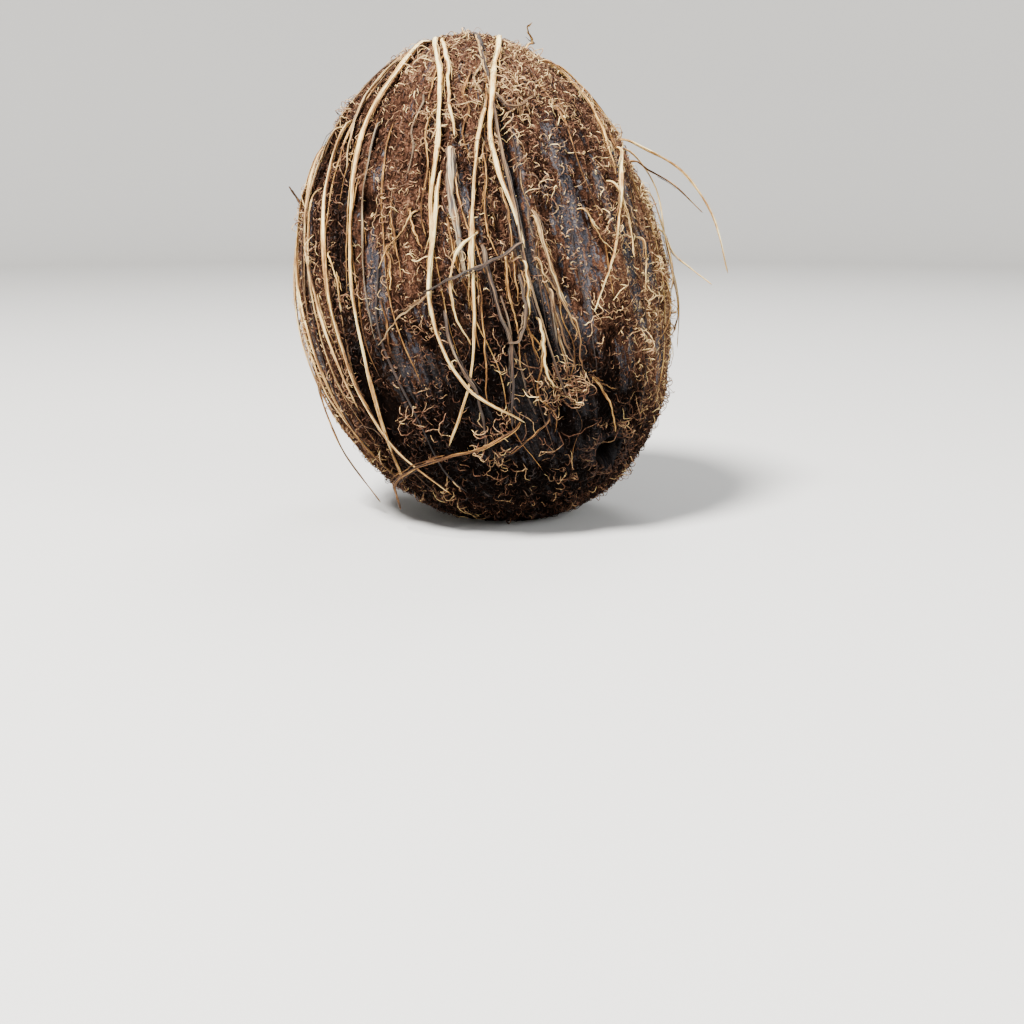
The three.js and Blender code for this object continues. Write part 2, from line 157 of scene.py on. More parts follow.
# Thinner threads of the front and sides, which only the scene has, in the same form
THREADS = (
    (1.0, 0.95, 0.0, ((16, -10), (15, -17, 1.8), (14, -21, 2.0), (15, -26, 2.2))),
    (0.7, 0.72, 0.0, ((29, -26), (32, -30, 2.0), (34, -33, 1.6), (36, -37), (37, -43, 1.8))),
    (0.6, 0.5, 0.0, ((28, -25), (32, -28, 2.2), (37, -30, 2.4))),
    (0.5, 0.8, 0.0, ((37, 12), (39, 8), (41, 4), (44, 1, 2.0))),
    (0.8, 0.7, 0.3, ((20, 12), (21, 9), (22, 3), (23, -2), (25, -9, 1.2))),
    (0.6, 0.6, 0.4, ((19, 3), (20, -1), (22, -4), (25, -9, 1.2))),
    (0.9, 0.8, 0.0, ((15, 3), (15, -1), (14, -5), (13, -10, 1.0))),
    (0.6, 0.56, 0.0, ((14, 1), (13, -5), (12, -12), (13, -19, 1.0))),
    (0.7, 0.5, 0.5, ((21, -4), (21, -9), (22, -16), (24, -23, 1.0))),
    (1.1, 0.42, 0.8, ((13, 0), (13, -4), (12, -9, 2.0), (8, -14, 2.2), (5, -14, 1.6))),
    (0.6, 0.66, 0.1, ((-14, 18), (-18, 14, 1.8), (-24, 10, 1.8), (-27, 7, 1.4))),
    (0.7, 0.5, 0.0, ((-16, 19), (-15, 14), (-13, 9))),
    (0.6, 0.82, 0.0, ((-47, 14), (-43, 9, 2.0), (-42, 4, 1.8), (-43, 0, 1.4))),
    (0.6, 0.55, 0.6, ((-12, 0), (-17, -2, 2.2), (-23, -4, 2.2), (-32, -9, 1.6))),
    (0.7, 0.8, 0.2, ((83, 16), (85, 6, 2.0), (79, -5, 2.4), (70, -12, 1.8))),
    (0.6, 0.8, 0.0, ((60, 4), (58, -2, 1.8), (55, -9, 1.4))),
    (0.6, 0.5, 0.3, ((26, -11), (27, -15), (26, -20), (26, -27, 1.0))),
    (1.0, 0.74, 0.4, ((-58, 44), (-62, 36), (-64, 30), (-64, 22))),
    (0.6, 0.5, 0.0, ((-22, 22), (-21, 14), (-20, 4, 1.6))),
    (0.65, 0.44, 0.0, ((-1, 26), (-1, 18), (2, 8), (4, 0))),
    (0.6, 0.5, 0.0, ((8, 30), (8, 22), (6, 12), (8, 4))),
    (0.65, 0.4, 0.0, ((-5, 16), (-4, 6), (-2, -4), (-3, -14))),
    (0.6, 0.56, 0.0, ((10, 6), (9, -2), (9, -10), (7, -20, 1.8))),
    (0.55, 0.46, 0.0, ((2, 2), (0, -8), (-2, -16), (-6, -26, 1.8))),
    (0.6, 0.52, 0.0, ((12, 20), (13, 12), (12, 4), (11, -6))),
    (0.8, 0.4, 0.0, ((12, -34), (4, -37, 2.0), (-6, -40, 2.4), (-16, -41, 2.0))),
    (1.1, 0.22, 0.9, ((11, 80), (12, 66), (13, 54), (13, 45, 1.2))),
    (0.6, 0.84, 0.3, ((9, 78), (11, 66), (12, 55), (14, 44, 1.8))),
    (0.7, 0.55, 0.6, ((14, 46), (19, 40, 2.0), (24, 39, 2.6), (30, 42, 2.0), (35, 42, 1.0))),
    (0.5, 0.52, 0.2, ((84, -5), (80, -14, 2.6), (72, -19, 2.4), (62, -22, 1.2))),
    (0.5, 0.56, 0.0, ((70, -6), (70, -12, 2.4), (66, -17, 2.4), (60, -21, 1.4))),
    (0.9, 0.9, 0.1, ((-80, 34), (-78, 20), (-74, 2), (-69, -16), (-62, -30))),
    (0.7, 0.7, 0.2, ((-60, 30), (-59, 16), (-57, 2), (-55, -16), (-52, -30))),
    (0.8, 0.86, 0.2, ((-96, 20), (-95, 4), (-90, -14), (-84, -28))),
    (0.6, 0.66, 0.0, ((-24, 12), (-23, 8), (-24, 2))),
)


# The form of the nut

def draws(seed):
    """Repeatable draws from 0 to 1, the same as the solid's."""
    state = seed
    while True:
        state = (state * 1664525 + 1013904223) % 4294967296
        yield state / 4294967296


def smoothstep(value, low, high):
    share = np.clip((value - low) / (high - low), 0, 1)
    return share * share * (3 - 2 * share)


def turn(a, b):
    """Difference of two longitudes, from -180 to 180."""
    return (a - b + 180) % 360 - 180


class CellNoise:
    """Random values from -1 to 1 on a grid of cells around and along the nut, joined smoothly."""

    def __init__(self, around, along, seed):
        draw = draws(seed)
        self.around = around
        self.along = along
        self.rows = np.array([[2 * next(draw) - 1 for _ in range(around)] for _ in range(along + 1)])

    def __call__(self, longitude, latitude):
        across = np.mod(longitude, 360) / 360 * self.around
        up = np.clip((latitude + 90) / 180, 0, 1) * self.along
        column = np.floor(across).astype(int)
        row = np.minimum(np.floor(up).astype(int), self.along - 1)
        right = smoothstep(across - column, 0, 1)
        rise = smoothstep(up - row, 0, 1)
        left = column % self.around
        next_left = (column + 1) % self.around
        low = self.rows[row, left] * (1 - right) + self.rows[row, next_left] * right
        high = self.rows[row + 1, left] * (1 - right) + self.rows[row + 1, next_left] * right
        return low * (1 - rise) + high * rise


GRAIN_LAYERS = tuple((height, CellNoise(around, along, seed)) for around, along, height, seed in GRAIN)
FINE_LAYERS = tuple((height, CellNoise(around, along, seed)) for around, along, height, seed in FINE_GRAIN)
RAGGED_LAYERS = tuple((share, CellNoise(around, along, seed)) for around, along, seed, share in RAGGED)
GROOVE_NOISE = CellNoise(3, 16, 51)
CLUMP_NOISE = CellNoise(44, 24, 43)
GAP_NOISE = CellNoise(GAPS["around"], GAPS["along"], GAPS["seed"])


def share_of_patches(longitude, latitude, patches):
    """How far a place is from the nearest patch's centre, where 1 is the patch's edge."""
    shares = [
        np.hypot(turn(longitude, lon) / half_width, (latitude - lat) / half_height)
        for lon, lat, half_width, half_height in patches
    ]
    return np.min(shares, axis=0)


def bareness(longitude, latitude):
    """How far the solid's patches lower a place, from 0 under coir to 1."""
    return 1 - smoothstep(share_of_patches(longitude, latitude, BARE_PATCHES), BARE["inner"], BARE["outer"])


def seam_length(latitude):
    """1 along a seam and 0 past its ends."""
    bottom, top, fade = SEAM["bottom"], SEAM["top"], SEAM["fade"]
    return smoothstep(latitude, bottom, bottom + fade) * (1 - smoothstep(latitude, top - fade, top))


def groove(longitude, latitude, half_width):
    """The open crack in the middle of each seam, from 0 beside it to 1."""
    wander = GROOVE["wander"] * GROOVE_NOISE(longitude, latitude)
    across = np.min([np.abs(turn(longitude + wander, seam)) for seam in SEAM["longitudes"]], axis=0)
    return seam_length(latitude) * np.exp(-(across / half_width)**2)


def cover(longitude, latitude):
    """How much coir covers a place, from 0 on bare shell to 1."""
    share = share_of_patches(longitude, latitude, BARE_PATCHES + SMALL_PATCHES)
    for height, layer in RAGGED_LAYERS:
        share = share + height * layer(longitude, latitude)
    return smoothstep(share, 0.5, 1.2) * (1 - groove(longitude, latitude, GROOVE["clear"]))


def swell(longitude, latitude):
    """Height of the coir's mean surface over the smooth egg: three lobes and the raised tip."""
    lobe = LOBES["height"] * np.cos(np.radians(LOBES["count"] * (longitude - LOBES["phase"])))
    from_tip = (90 - latitude) / TIP["spread"]
    return lobe * np.cos(np.radians(latitude)) + TIP["height"] * np.exp(-from_tip**2)


def relief(longitude, latitude):
    """Height of the coir and shell over the smooth egg, as the solid has it."""
    away = np.cos(np.radians(latitude))
    height = swell(longitude, latitude)
    for layer_height, layer in GRAIN_LAYERS:
        height = height + layer_height * layer(longitude, latitude) * away
    for seam in SEAM["longitudes"]:
        across = turn(longitude, seam) / SEAM["half_width"]
        height = height - SEAM["depth"] * seam_length(latitude) * np.exp(-across**2)
    return height - BARE["depth"] * bareness(longitude, latitude)


def gap(longitude, latitude):
    """The deep gaps between clumps of coir, from 0 outside one to 1."""
    gaps = smoothstep(GAP_NOISE(longitude, latitude), GAPS["start"], GAPS["full"])
    return gaps * cover(longitude, latitude)


def fine_relief(longitude, latitude):
    """Ridges and clumps of the coir that are too fine for the solid."""
    away = np.cos(np.radians(latitude))
    height = 0
    for layer_height, layer in FINE_LAYERS:
        height = height + layer_height * layer(longitude, latitude) * away
    height = height * (SHELL_SHARE + (1 - SHELL_SHARE) * cover(longitude, latitude))
    return height - GAPS["depth"] * gap(longitude, latitude)


def rotation(axis, degrees):
    """Turn about the X or the Y axis as a 3 by 3 array."""
    c, s = math.cos(math.radians(degrees)), math.sin(math.radians(degrees))
    return np.array({"X": ((1, 0, 0), (0, c, -s), (0, s, c)), "Y": ((c, 0, s), (0, 1, 0), (-s, 0, c))}[axis])


STANDING = rotation("Y", -LEAN) @ rotation("X", -PITCH)


def unit(vectors):
    return vectors / np.maximum(np.linalg.norm(vectors, axis=-1, keepdims=True), 1e-12)


def over_egg(longitude, latitude, height):
    """Points over the smooth egg, with its centre at the origin."""
    longitude, latitude, height = np.broadcast_arrays(longitude, latitude, height)
    around, up = np.radians(longitude), np.radians(latitude)
    s, c = np.sin(up), np.cos(up)
    ray = unit(np.stack((c * np.sin(around) + POLE_SHIFT * s * s, -c * np.cos(around), s), axis=-1))
    z = ray[..., 2]
    across = WIDTH / 2 * (1 - TAPER * z + FULLNESS * z * z)
    half = np.stack((across, across, np.full_like(across, LENGTH / 2)), axis=-1)
    point = ray * half
    point[..., 0] += BEND * z * z
    return (point + unit(ray / half) * height[..., None]) @ STANDING.T


def from_eye(longitude, latitude):
    """Distance from the nearest eye's centre, in radii of an eye."""
    here = over_egg(longitude, latitude, 0)
    eyes = [over_egg(eye, EYES["latitude"], 0) for eye in EYES["longitudes"]]
    return np.min([np.linalg.norm(here - eye, axis=-1) for eye in eyes], axis=0) / EYES["radius"]


def eye_relief(longitude, latitude):
    """The recess of an eye and the low rim round it."""
    distance = from_eye(longitude, latitude)
    recess = 1 - smoothstep(distance, *EYE_RECESS)
    rim_place, rim_width = EYE_RIM
    rim = np.exp(-((distance - rim_place) / rim_width)**2)
    return EYES["rim"] * rim - EYES["depth"] * recess


def surface(longitude, latitude):
    """Height of the finished surface over the smooth egg."""
    place = longitude, latitude
    cracks = GROOVE["depth"] * groove(*place, GROOVE["half_width"])
    return relief(*place) + fine_relief(*place) + eye_relief(*place) - cracks


def lowest_of_egg():
    latitude, longitude = np.meshgrid(np.arange(-90, -29), np.arange(0, 360, 3))
    return over_egg(longitude, latitude, 0)[..., 2].min()


CENTRE = np.array((0, 0, -(lowest_of_egg() + REST_DEPTH)))


def over_nut(longitude, latitude, height):
    """Points over the nut where it stands."""
    return over_egg(longitude, latitude, height) + CENTRE


def over_coir(longitude, latitude, height):
    """Points over the coir's mean surface."""
    return over_nut(longitude, latitude, swell(longitude, latitude) + height)


def directions(longitude, latitude):
    """East, north along the grain, and outward at places on the nut."""
    step = 0.5
    here = over_nut(longitude, latitude, 0)
    out = unit(over_nut(longitude, latitude, MM) - here)
    north = unit(over_nut(longitude, latitude + step, 0) - over_nut(longitude, latitude - step, 0))
    east = unit(np.cross(north, out))
    return east, np.cross(out, east), out


# Meshes

def add_attribute(mesh, name, values, kind="FLOAT"):
    """Stores one value, or one vector, for each vertex."""
    field = "vector" if kind == "FLOAT_VECTOR" else "value"
    mesh.attributes.new(name, kind, "POINT").data.foreach_set(field, np.asarray(values, np.float32).ravel())


def corners_of(mesh):
    places = np.empty(len(mesh.vertices) * 3, np.float32)
    mesh.vertices.foreach_get("co", places)
    return places.reshape(-1, 3).astype(float)


def add_object(name, data):
    """An object in the scene that shows data."""
    made = bpy.data.objects.new(name, data)
    bpy.context.scene.collection.objects.link(made)
    return made


def add_piece(name, mesh, material):
    """Shows a mesh as a piece that stands for the solid and rides with it."""
    mesh.name = name
    mesh.materials.append(material)
    mesh.polygons.foreach_set("use_smooth", np.full(len(mesh.polygons), True))
    mesh.update()
    piece = add_object(name, mesh)
    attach(piece, PIECE_BODY)
    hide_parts(NODE)


def mesh_from(bm, name):
    """The mesh of a bmesh, which is freed."""
    mesh = bpy.data.meshes.new(name)
    bm.to_mesh(mesh)
    bm.free()
    return mesh


def extruded(bm, edges):
    """Extrudes a rim of edges, and gives its new verts and the new rim."""
    made = bmesh.ops.extrude_edge_only(bm, edges=edges)["geom"]
    verts = [item for item in made if isinstance(item, bmesh.types.BMVert)]
    return verts, [item for item in made if isinstance(item, bmesh.types.BMEdge) and item.is_boundary]


def fibre_template(sides, steps, furrow):
    """A straight closed fibre of unit radius with pointed ends, and a ring at each whole height."""
    bm = bmesh.new()
    ring = bmesh.ops.create_circle(bm, segments=sides, radius=1)["verts"]
    for corner, vert in enumerate(ring):
        vert.co *= 1 - furrow * (corner % 2)
    bmesh.ops.translate(bm, verts=ring, vec=(0, 0, 1))
    first = rim = bm.edges[:]
    for _ in range(steps - 2):
        verts, rim = extruded(bm, rim)
        bmesh.ops.translate(bm, verts=verts, vec=(0, 0, 1))
    for edges, height in ((first, 0), (rim, steps)):
        bmesh.ops.pointmerge(bm, verts=extruded(bm, edges)[0], merge_co=(0, 0, height))
    bmesh.ops.recalc_face_normals(bm, faces=bm.faces[:])
    bmesh.ops.triangulate(bm, faces=bm.faces[:])
    return mesh_from(bm, "fibre")


def copies_of(template, count):
    """One mesh with that many copies of the template, one after another."""
    holder = add_object("fibre", template)
    array = holder.modifiers.new("copies", "ARRAY")
    array.count = count
    array.use_relative_offset = False
    bpy.context.view_layer.update()
    shown = holder.evaluated_get(bpy.context.evaluated_depsgraph_get())
    mesh = bpy.data.meshes.new_from_object(shown)
    bpy.data.objects.remove(holder)
    return mesh


def carried_frames(lines, first):
    """Two directions across each line at each of its points, carried along it without twist."""
    tangent = unit(np.gradient(lines, axis=1))
    side = np.empty_like(lines)
    last = first
    for k in range(lines.shape[1]):
        along = tangent[:, k]
        last = unit(last - (last * along).sum(axis=1, keepdims=True) * along)
        side[:, k] = last
    return side, np.cross(tangent, side)


STRIP_LENGTH = 6 * MM  # length of a fibre that its pattern counts as one
STRIP_SHIFT = 3.7  # how far the pattern moves from one fibre to the next


def fibre_mesh(lines, radius, first, sides, thickness=1.0, furrow=0.0, twist=None):
    """Fibres along lines. radius is half the width at each point, and thickness is a share of it."""
    count, points = lines.shape[:2]
    template = fibre_template(sides, points - 1, furrow)
    shape = corners_of(template)
    ring = np.rint(shape[:, 2]).astype(int)
    side, other = carried_frames(lines, first)
    if twist is not None:
        c, s = np.cos(twist)[..., None], np.sin(twist)[..., None]
        side, other = c * side + s * other, c * other - s * side
    half = radius[:, ring, None]
    across = shape[:, 0, None] * thickness * side[:, ring] + shape[:, 1, None] * other[:, ring]
    places = lines[:, ring] + half * across
    places[..., 2] = np.maximum(places[..., 2], FLOOR_GAP)
    mesh = copies_of(template, count)
    mesh.vertices.foreach_set("co", places.astype(np.float32).ravel())
    add_attribute(mesh, "along", np.tile(ring / (points - 1), count))
    lengths = np.linalg.norm(np.diff(lines, axis=1), axis=2).cumsum(axis=1)
    run = np.concatenate((np.zeros((count, 1)), lengths), axis=1)[:, ring]
    add_attribute(mesh, "edge", np.tile(np.abs(shape[:, 1]), count))
    strip = np.stack(np.broadcast_arrays(shape[:, 0], shape[:, 1], run / STRIP_LENGTH), axis=-1)
    strip = strip + np.arange(count)[:, None, None] * STRIP_SHIFT
    add_attribute(mesh, "strip", strip, "FLOAT_VECTOR")
    return mesh, len(shape)


# Shader building

class Wire:
    """A node's output that takes part in sums, so that shader maths reads as an expression."""

    def __init__(self, shader, socket):
        self.shader = shader
        self.socket = socket

    def math(self, operation, *values):
        return self.shader.add("ShaderNodeMath", {"operation": operation}, dict(enumerate(values)))

    def __add__(self, other):
        return self.math("ADD", self, other)

    def __sub__(self, other):
        return self.math("SUBTRACT", self, other)

    def __rsub__(self, other):
        return self.math("SUBTRACT", other, self)

    def __mul__(self, other):
        return self.math("MULTIPLY", self, other)

    __radd__ = __add__
    __rmul__ = __mul__

    def clamped(self):
        return self.shader.add("ShaderNodeClamp", {}, {"Value": self})

    def between(self, low, high):
        """0 below low, 1 above high and smooth between."""
        inputs = {"Value": self, "From Min": low, "From Max": high}
        return self.shader.add("ShaderNodeMapRange", {"interpolation_type": "SMOOTHSTEP"}, inputs)


class Shader:
    """A material in the making, with one method that adds any node."""

    def __init__(self, name, **constants):
        self.material = bpy.data.materials.new(name)
        self.material.use_nodes = True
        self.tree = self.material.node_tree
        self.surface = self.tree.nodes["Principled BSDF"]
        for socket, value in constants.items():
            self.surface.inputs[socket.replace("_", " ").title().replace("Ior", "IOR")].default_value = value

    def add(self, kind, settings, inputs, output=0):
        node = self.tree.nodes.new(kind)
        for name, value in settings.items():
            if name == "stops":
                self.set_stops(node.color_ramp, value)
            else:
                setattr(node, name, value)
        for name, value in inputs.items():
            self.feed(node.inputs[name], value)
        return Wire(self, node.outputs[output])

    def set_stops(self, ramp, stops):
        while len(ramp.elements) < len(stops):
            ramp.elements.new(1)
        for element, (position, colour) in zip(ramp.elements, stops):
            element.position = position
            element.color = (*colour, 1)

    def feed(self, socket, value):
        if isinstance(value, Wire):
            self.tree.links.new(value.socket, socket)
        elif socket.type == "RGBA" and len(value) == 3:
            socket.default_value = (*value, 1)
        else:
            socket.default_value = value

    def attribute(self, name, output="Fac"):
        return self.add("ShaderNodeAttribute", {"attribute_name": name}, {}, output)

    def place(self):
        return self.add("ShaderNodeTexCoord", {}, {}, "Object")

    def noise(self, place, scale, detail=2.0, roughness=0.5):
        inputs = {"Vector": place, "Scale": scale, "Detail": detail, "Roughness": roughness}
        return self.add("ShaderNodeTexNoise", {}, inputs, "Fac")

    def stretched(self, place, scale):
        return self.add("ShaderNodeMapping", {}, {"Vector": place, "Scale": scale})

    def mix(self, share, first, second, blend="MIX"):
        settings = {"data_type": "RGBA", "blend_type": blend}
        return self.add("ShaderNodeMix", settings, {0: share, 6: first, 7: second}, 2)

    def ramp(self, share, stops):
        return self.add("ShaderNodeValToRGB", {"stops": stops}, {"Fac": share}, "Color")

    def bump(self, height, strength, distance):
        return self.add("ShaderNodeBump", {}, {"Height": height, "Strength": strength, "Distance": distance})

    def finish(self, **sockets):
        for socket, value in sockets.items():
            self.feed(self.surface.inputs[socket.replace("_", " ").title()], value)
        return self.material


# Colours from the deepest gaps of the coir to its palest fibres, and the same for straw
COIR_STOPS = (
    (0.0, (0.0035, 0.0022, 0.0018)),
    (0.2, (0.017, 0.0078, 0.0046)),
    (0.4, (0.060, 0.0268, 0.0160)),
    (0.56, (0.136, 0.063, 0.036)),
    (0.72, (0.288, 0.172, 0.090)),
    (0.87, (0.570, 0.360, 0.165)),
    (1.0, (0.880, 0.650, 0.280)),
)
STRAW_STOPS = (
    (0.0, (0.008, 0.004, 0.003)),
    (0.25, (0.085, 0.034, 0.012)),
    (0.5, (0.360, 0.165, 0.048)),
    (0.7, (0.740, 0.420, 0.120)),
    (0.86, (0.980, 0.710, 0.270)),
    (1.0, (1.000, 0.870, 0.450)),
)


def shell_material(settings):
    """Blue-black shell with fine streaks along the grain, under a crust of rust-brown felt, with painted
    shade, and dust streaks that also paint its sheen.
    """
    shader = Shader("coconut_shell", specular_ior_level=0.0)
    grain = shader.attribute("grain", "Vector")
    place = shader.place()
    tone = shader.attribute("tone")
    streaks = shader.noise(shader.stretched(grain, (1, 1, 0.12)), 170, 4, 0.6).between(0.38, 0.62)
    fine_streaks = shader.noise(shader.stretched(grain, (1, 1, 0.12)), 520, 3, 0.6).between(0.38, 0.62)
    crumbs = shader.noise(shader.stretched(grain, (1, 1, 0.55)), 850, 4, 0.65).between(0.36, 0.64)
    grit = shader.noise(place, 2300, 2, 0.6).between(0.36, 0.64)
    clouds = shader.noise(place, 120, 3, 0.5).between(0.35, 0.65)
    covered = shader.attribute("cover") + (crumbs - 0.5) * 0.5 + (streaks - 0.42)
    felt = covered.between(0.36, 0.62)
    # Painted shade: black follows the dark region tones, low on the nut and in strips beside strands, and
    # turns the shell black there along with the lower end's own dark shell; rust keeps less dust, sheen and
    # rust where it does
    black = (tone * -4.5).clamped()
    rust = 1.0 - black * 0.82
    darker = (black + (0.55 - streaks) * 1.1).clamped()
    shell = shader.mix(darker, settings.shell_colour, settings.shell_black_and_shade)
    # Pale streaks of dust, which also paint the shell's sheen
    shell = shader.mix((fine_streaks * 0.7 + grit * 0.5 - 0.3).clamped() * rust, shell, settings.shell_dust_and_sheen)
    rusty = (crumbs * 1.5 + streaks * 0.7 - 1.2).clamped() * grit * rust
    shell = shader.mix(rusty, shell, settings.shell_rust)
    # The felt is darker where its relief is low, by depth, as painted shade in its hollows, and its low tone
    # under the fibres is partly painted shade between them; tone brings the region's painted light and shade
    felt_tone = crumbs * 0.26 + grit * 0.18 + clouds * 0.14 + shader.attribute("depth") * 0.1 + tone * 1.2
    colour = shader.mix(felt, shell, shader.ramp(felt_tone, COIR_STOPS))
    # Near-black in the eyes and the seams' cracks: the eyes' own dark with painted shade in their recesses,
    # and painted shade in the cracks
    colour = shader.mix(shader.attribute("dark"), colour, settings.eye_dark_and_crack_shade)
    roughness = felt * 0.25 + streaks * 0.2 + 0.5
    height = crumbs * 0.6 + fine_streaks * 0.3 + grit * 0.35 + streaks * 0.5
    return shader.finish(base_color=colour, roughness=roughness, normal=shader.bump(height, 1.0, 0.45 * MM))


def fibre_material(settings):
    """Short coir fibres, dark at the root as painted shade, and paler towards the tip."""
    shader = Shader("coir_fibre", roughness=0.8, specular_ior_level=0.07)
    along = shader.attribute("along")
    speck = shader.noise(shader.place(), 1300, 2).between(0.36, 0.64)
    # Painted shade at the root and a paler tip
    tone = shader.attribute("shade") + (along - 0.5) * settings.tip_gain_and_root_shade + (speck - 0.5) * 0.2
    colour = shader.ramp(tone, COIR_STOPS)
    grey = shader.attribute("grey") * (speck * 0.5 + 0.6)
    return shader.finish(base_color=shader.mix(grey.clamped(), colour, settings.weathered))


def strand_material(settings):
    """Long strands of straw with lengthwise streaks and darker stains."""
    shader = Shader("coir_strand", roughness=0.6, specular_ior_level=0.14)
    strip = shader.attribute("strip", "Vector")
    streaks = shader.noise(shader.stretched(strip, (1, 1, 0.16)), 2.4, 3, 0.6).between(0.35, 0.65)
    stains = shader.noise(shader.stretched(strip, (0.4, 0.4, 1)), 1.1, 4, 0.7).between(0.35, 0.65)
    specks = shader.noise(strip, 3.5, 2, 0.5).between(0.6, 0.7)
    edge = shader.attribute("edge")
    tone = shader.attribute("shade") + (streaks - 0.55) * 0.48 + (stains - 0.6) * 0.36
    # Darker edges: partly the strands' own darker edges and partly painted shade where they round away
    tone = tone - specks * 0.26 - edge * edge * 0.38 + 0.13
    colour = shader.ramp(tone, STRAW_STOPS)
    grey = shader.attribute("grey") * (stains * 0.6 + 0.6)
    pale = (shader.attribute("shade") * 1.5 + streaks - 1.25).clamped()
    colour = shader.mix(grey.clamped(), colour, shader.mix(pale, settings.weathered, settings.bleached))
    return shader.finish(base_color=colour, normal=shader.bump(streaks, 1.0, 0.25 * MM))


# Settings

def maker(kind, **limits):
    """A function that makes a property of one kind from its name, description and default."""
    def make(name, description, default):
        return kind(name=name, description=description, default=default, **limits)
    return make


length_property = maker(bpy.props.FloatProperty, unit="LENGTH", min=0)
colour_property = maker(bpy.props.FloatVectorProperty, subtype="COLOR", size=3, min=0, max=1)
share_property = maker(bpy.props.FloatProperty, subtype="FACTOR", min=0, soft_max=1)
power_property = maker(bpy.props.FloatProperty, unit="POWER", min=0)
camera_property = maker(bpy.props.FloatProperty, unit="CAMERA", min=1)
count_property = maker(bpy.props.IntProperty, min=1)


class CoconutShellSettings(bpy.types.PropertyGroup):
    """The shell and the felt of coir on it"""
    columns: count_property("Columns", "Faces round the shell", 340)
    rows: count_property("Rows", "Faces along the shell", 200)
    shell_colour: colour_property("Shell", "Colour of the bare shell", (0.0310, 0.0300, 0.0365))
    # Near-black shell where the region tone is dark: the lower end's own dark shell and painted shade low on
    # the nut and beside strands
    shell_black_and_shade: colour_property("Black shell", "Colour of the shell by the eyes", (0.0035, 0.003, 0.0032))
    # Pale bluish streaks on the shell: partly dust and partly painted sheen
    shell_dust_and_sheen: colour_property("Dust", "Colour of the dusty streaks on the shell", (0.108, 0.102, 0.108))
    shell_rust: colour_property("Rust", "Colour of the crumbs of coir on the shell", (0.24, 0.130, 0.070))
    # Near-black of the eyes, their own dark with painted shade, and painted shade in the cracks
    eye_dark_and_crack_shade: colour_property("Eye", "Colour inside an eye and a crack", (0.0016, 0.0011, 0.0008))


class CoconutFibreSettings(bpy.types.PropertyGroup):
    """The short fibres of the coir"""
    amount: share_property("Amount", "Share of all the short fibres that are grown", 1.0)
    thickness: share_property("Thickness", "Width of the short fibres against their usual width", 1.0)
    # Paler tip and painted shade at the root
    tip_gain_and_root_shade: share_property("Tip gain", "How much paler than its root a fibre's tip is", 0.44)
    weathered: colour_property("Weathered", "Colour of weathered fibres", (0.052, 0.043, 0.040))
    bleached: colour_property("Bleached", "Colour of weathered strands' pale streaks", (0.50, 0.42, 0.30))


class CoconutStrandSettings(bpy.types.PropertyGroup):
    """The long strands"""
    grain_count: count_property("Grain strands", "Thin strands along the grain", 90)
    splinter_count: count_property("Splinters", "Woody splinters along each seam", 30)
    hair_count: count_property("Hairs", "Fine loose hairs", 300)
    flatness: share_property("Flatness", "Thickness of a strand as a share of its width", 0.6)
    hair_width: length_property("Hair width", "Width of a loose hair", 0.24 * MM)


class CoconutStageSettings(bpy.types.PropertyGroup):
    """The floor, the lights and the camera"""
    floor_colour: colour_property("Floor", "Colour of the floor and backdrop", (0.52, 0.515, 0.50))
    key_power: power_property("Key", "Power of the main light", 96)
    fill_power: power_property("Fill", "Power of each other light", 10)
    daylight: share_property("Daylight", "Strength of the light from all round", 0.32)
    lens: camera_property("Lens", "Focal length", 55)


# Short fibres

def scatter(rng, count, weight):
    """Places on the nut, more of them where weight, a function from 0 to 1, is high."""
    longitudes, latitudes = [], []
    found = 0
    while found < count:
        longitude = rng.uniform(-180, 180, 2 * count)
        latitude = np.degrees(np.arcsin(rng.uniform(-1, 1, 2 * count)))
        kept = rng.random(2 * count) < weight(longitude, latitude)
        longitudes.append(longitude[kept])
        latitudes.append(latitude[kept])
        found += kept.sum()
    return np.concatenate(longitudes)[:count], np.concatenate(latitudes)[:count]


def waves(rng, count, share, low, high):
    """One wave for each fibre along its length, with from low to high turns."""
    phase = rng.random((count, 1))
    return np.sin(2 * math.pi * (share * rng.uniform(low, high, (count, 1)) + phase))


KINK = 0.35  # spread of the small bends between a fibre's points, in radians
WAVE_TURNS = 0.8, 1.8  # fewest and most waves along a short fibre
FIBRE_SINK = 0.8 * MM  # how deep a short fibre starts
FIBRE_TAPER = 0.6  # width of its tip against its root
WIDTH_SPREAD = 0.55, 1.35  # narrowest and widest fibre of a piece against its width


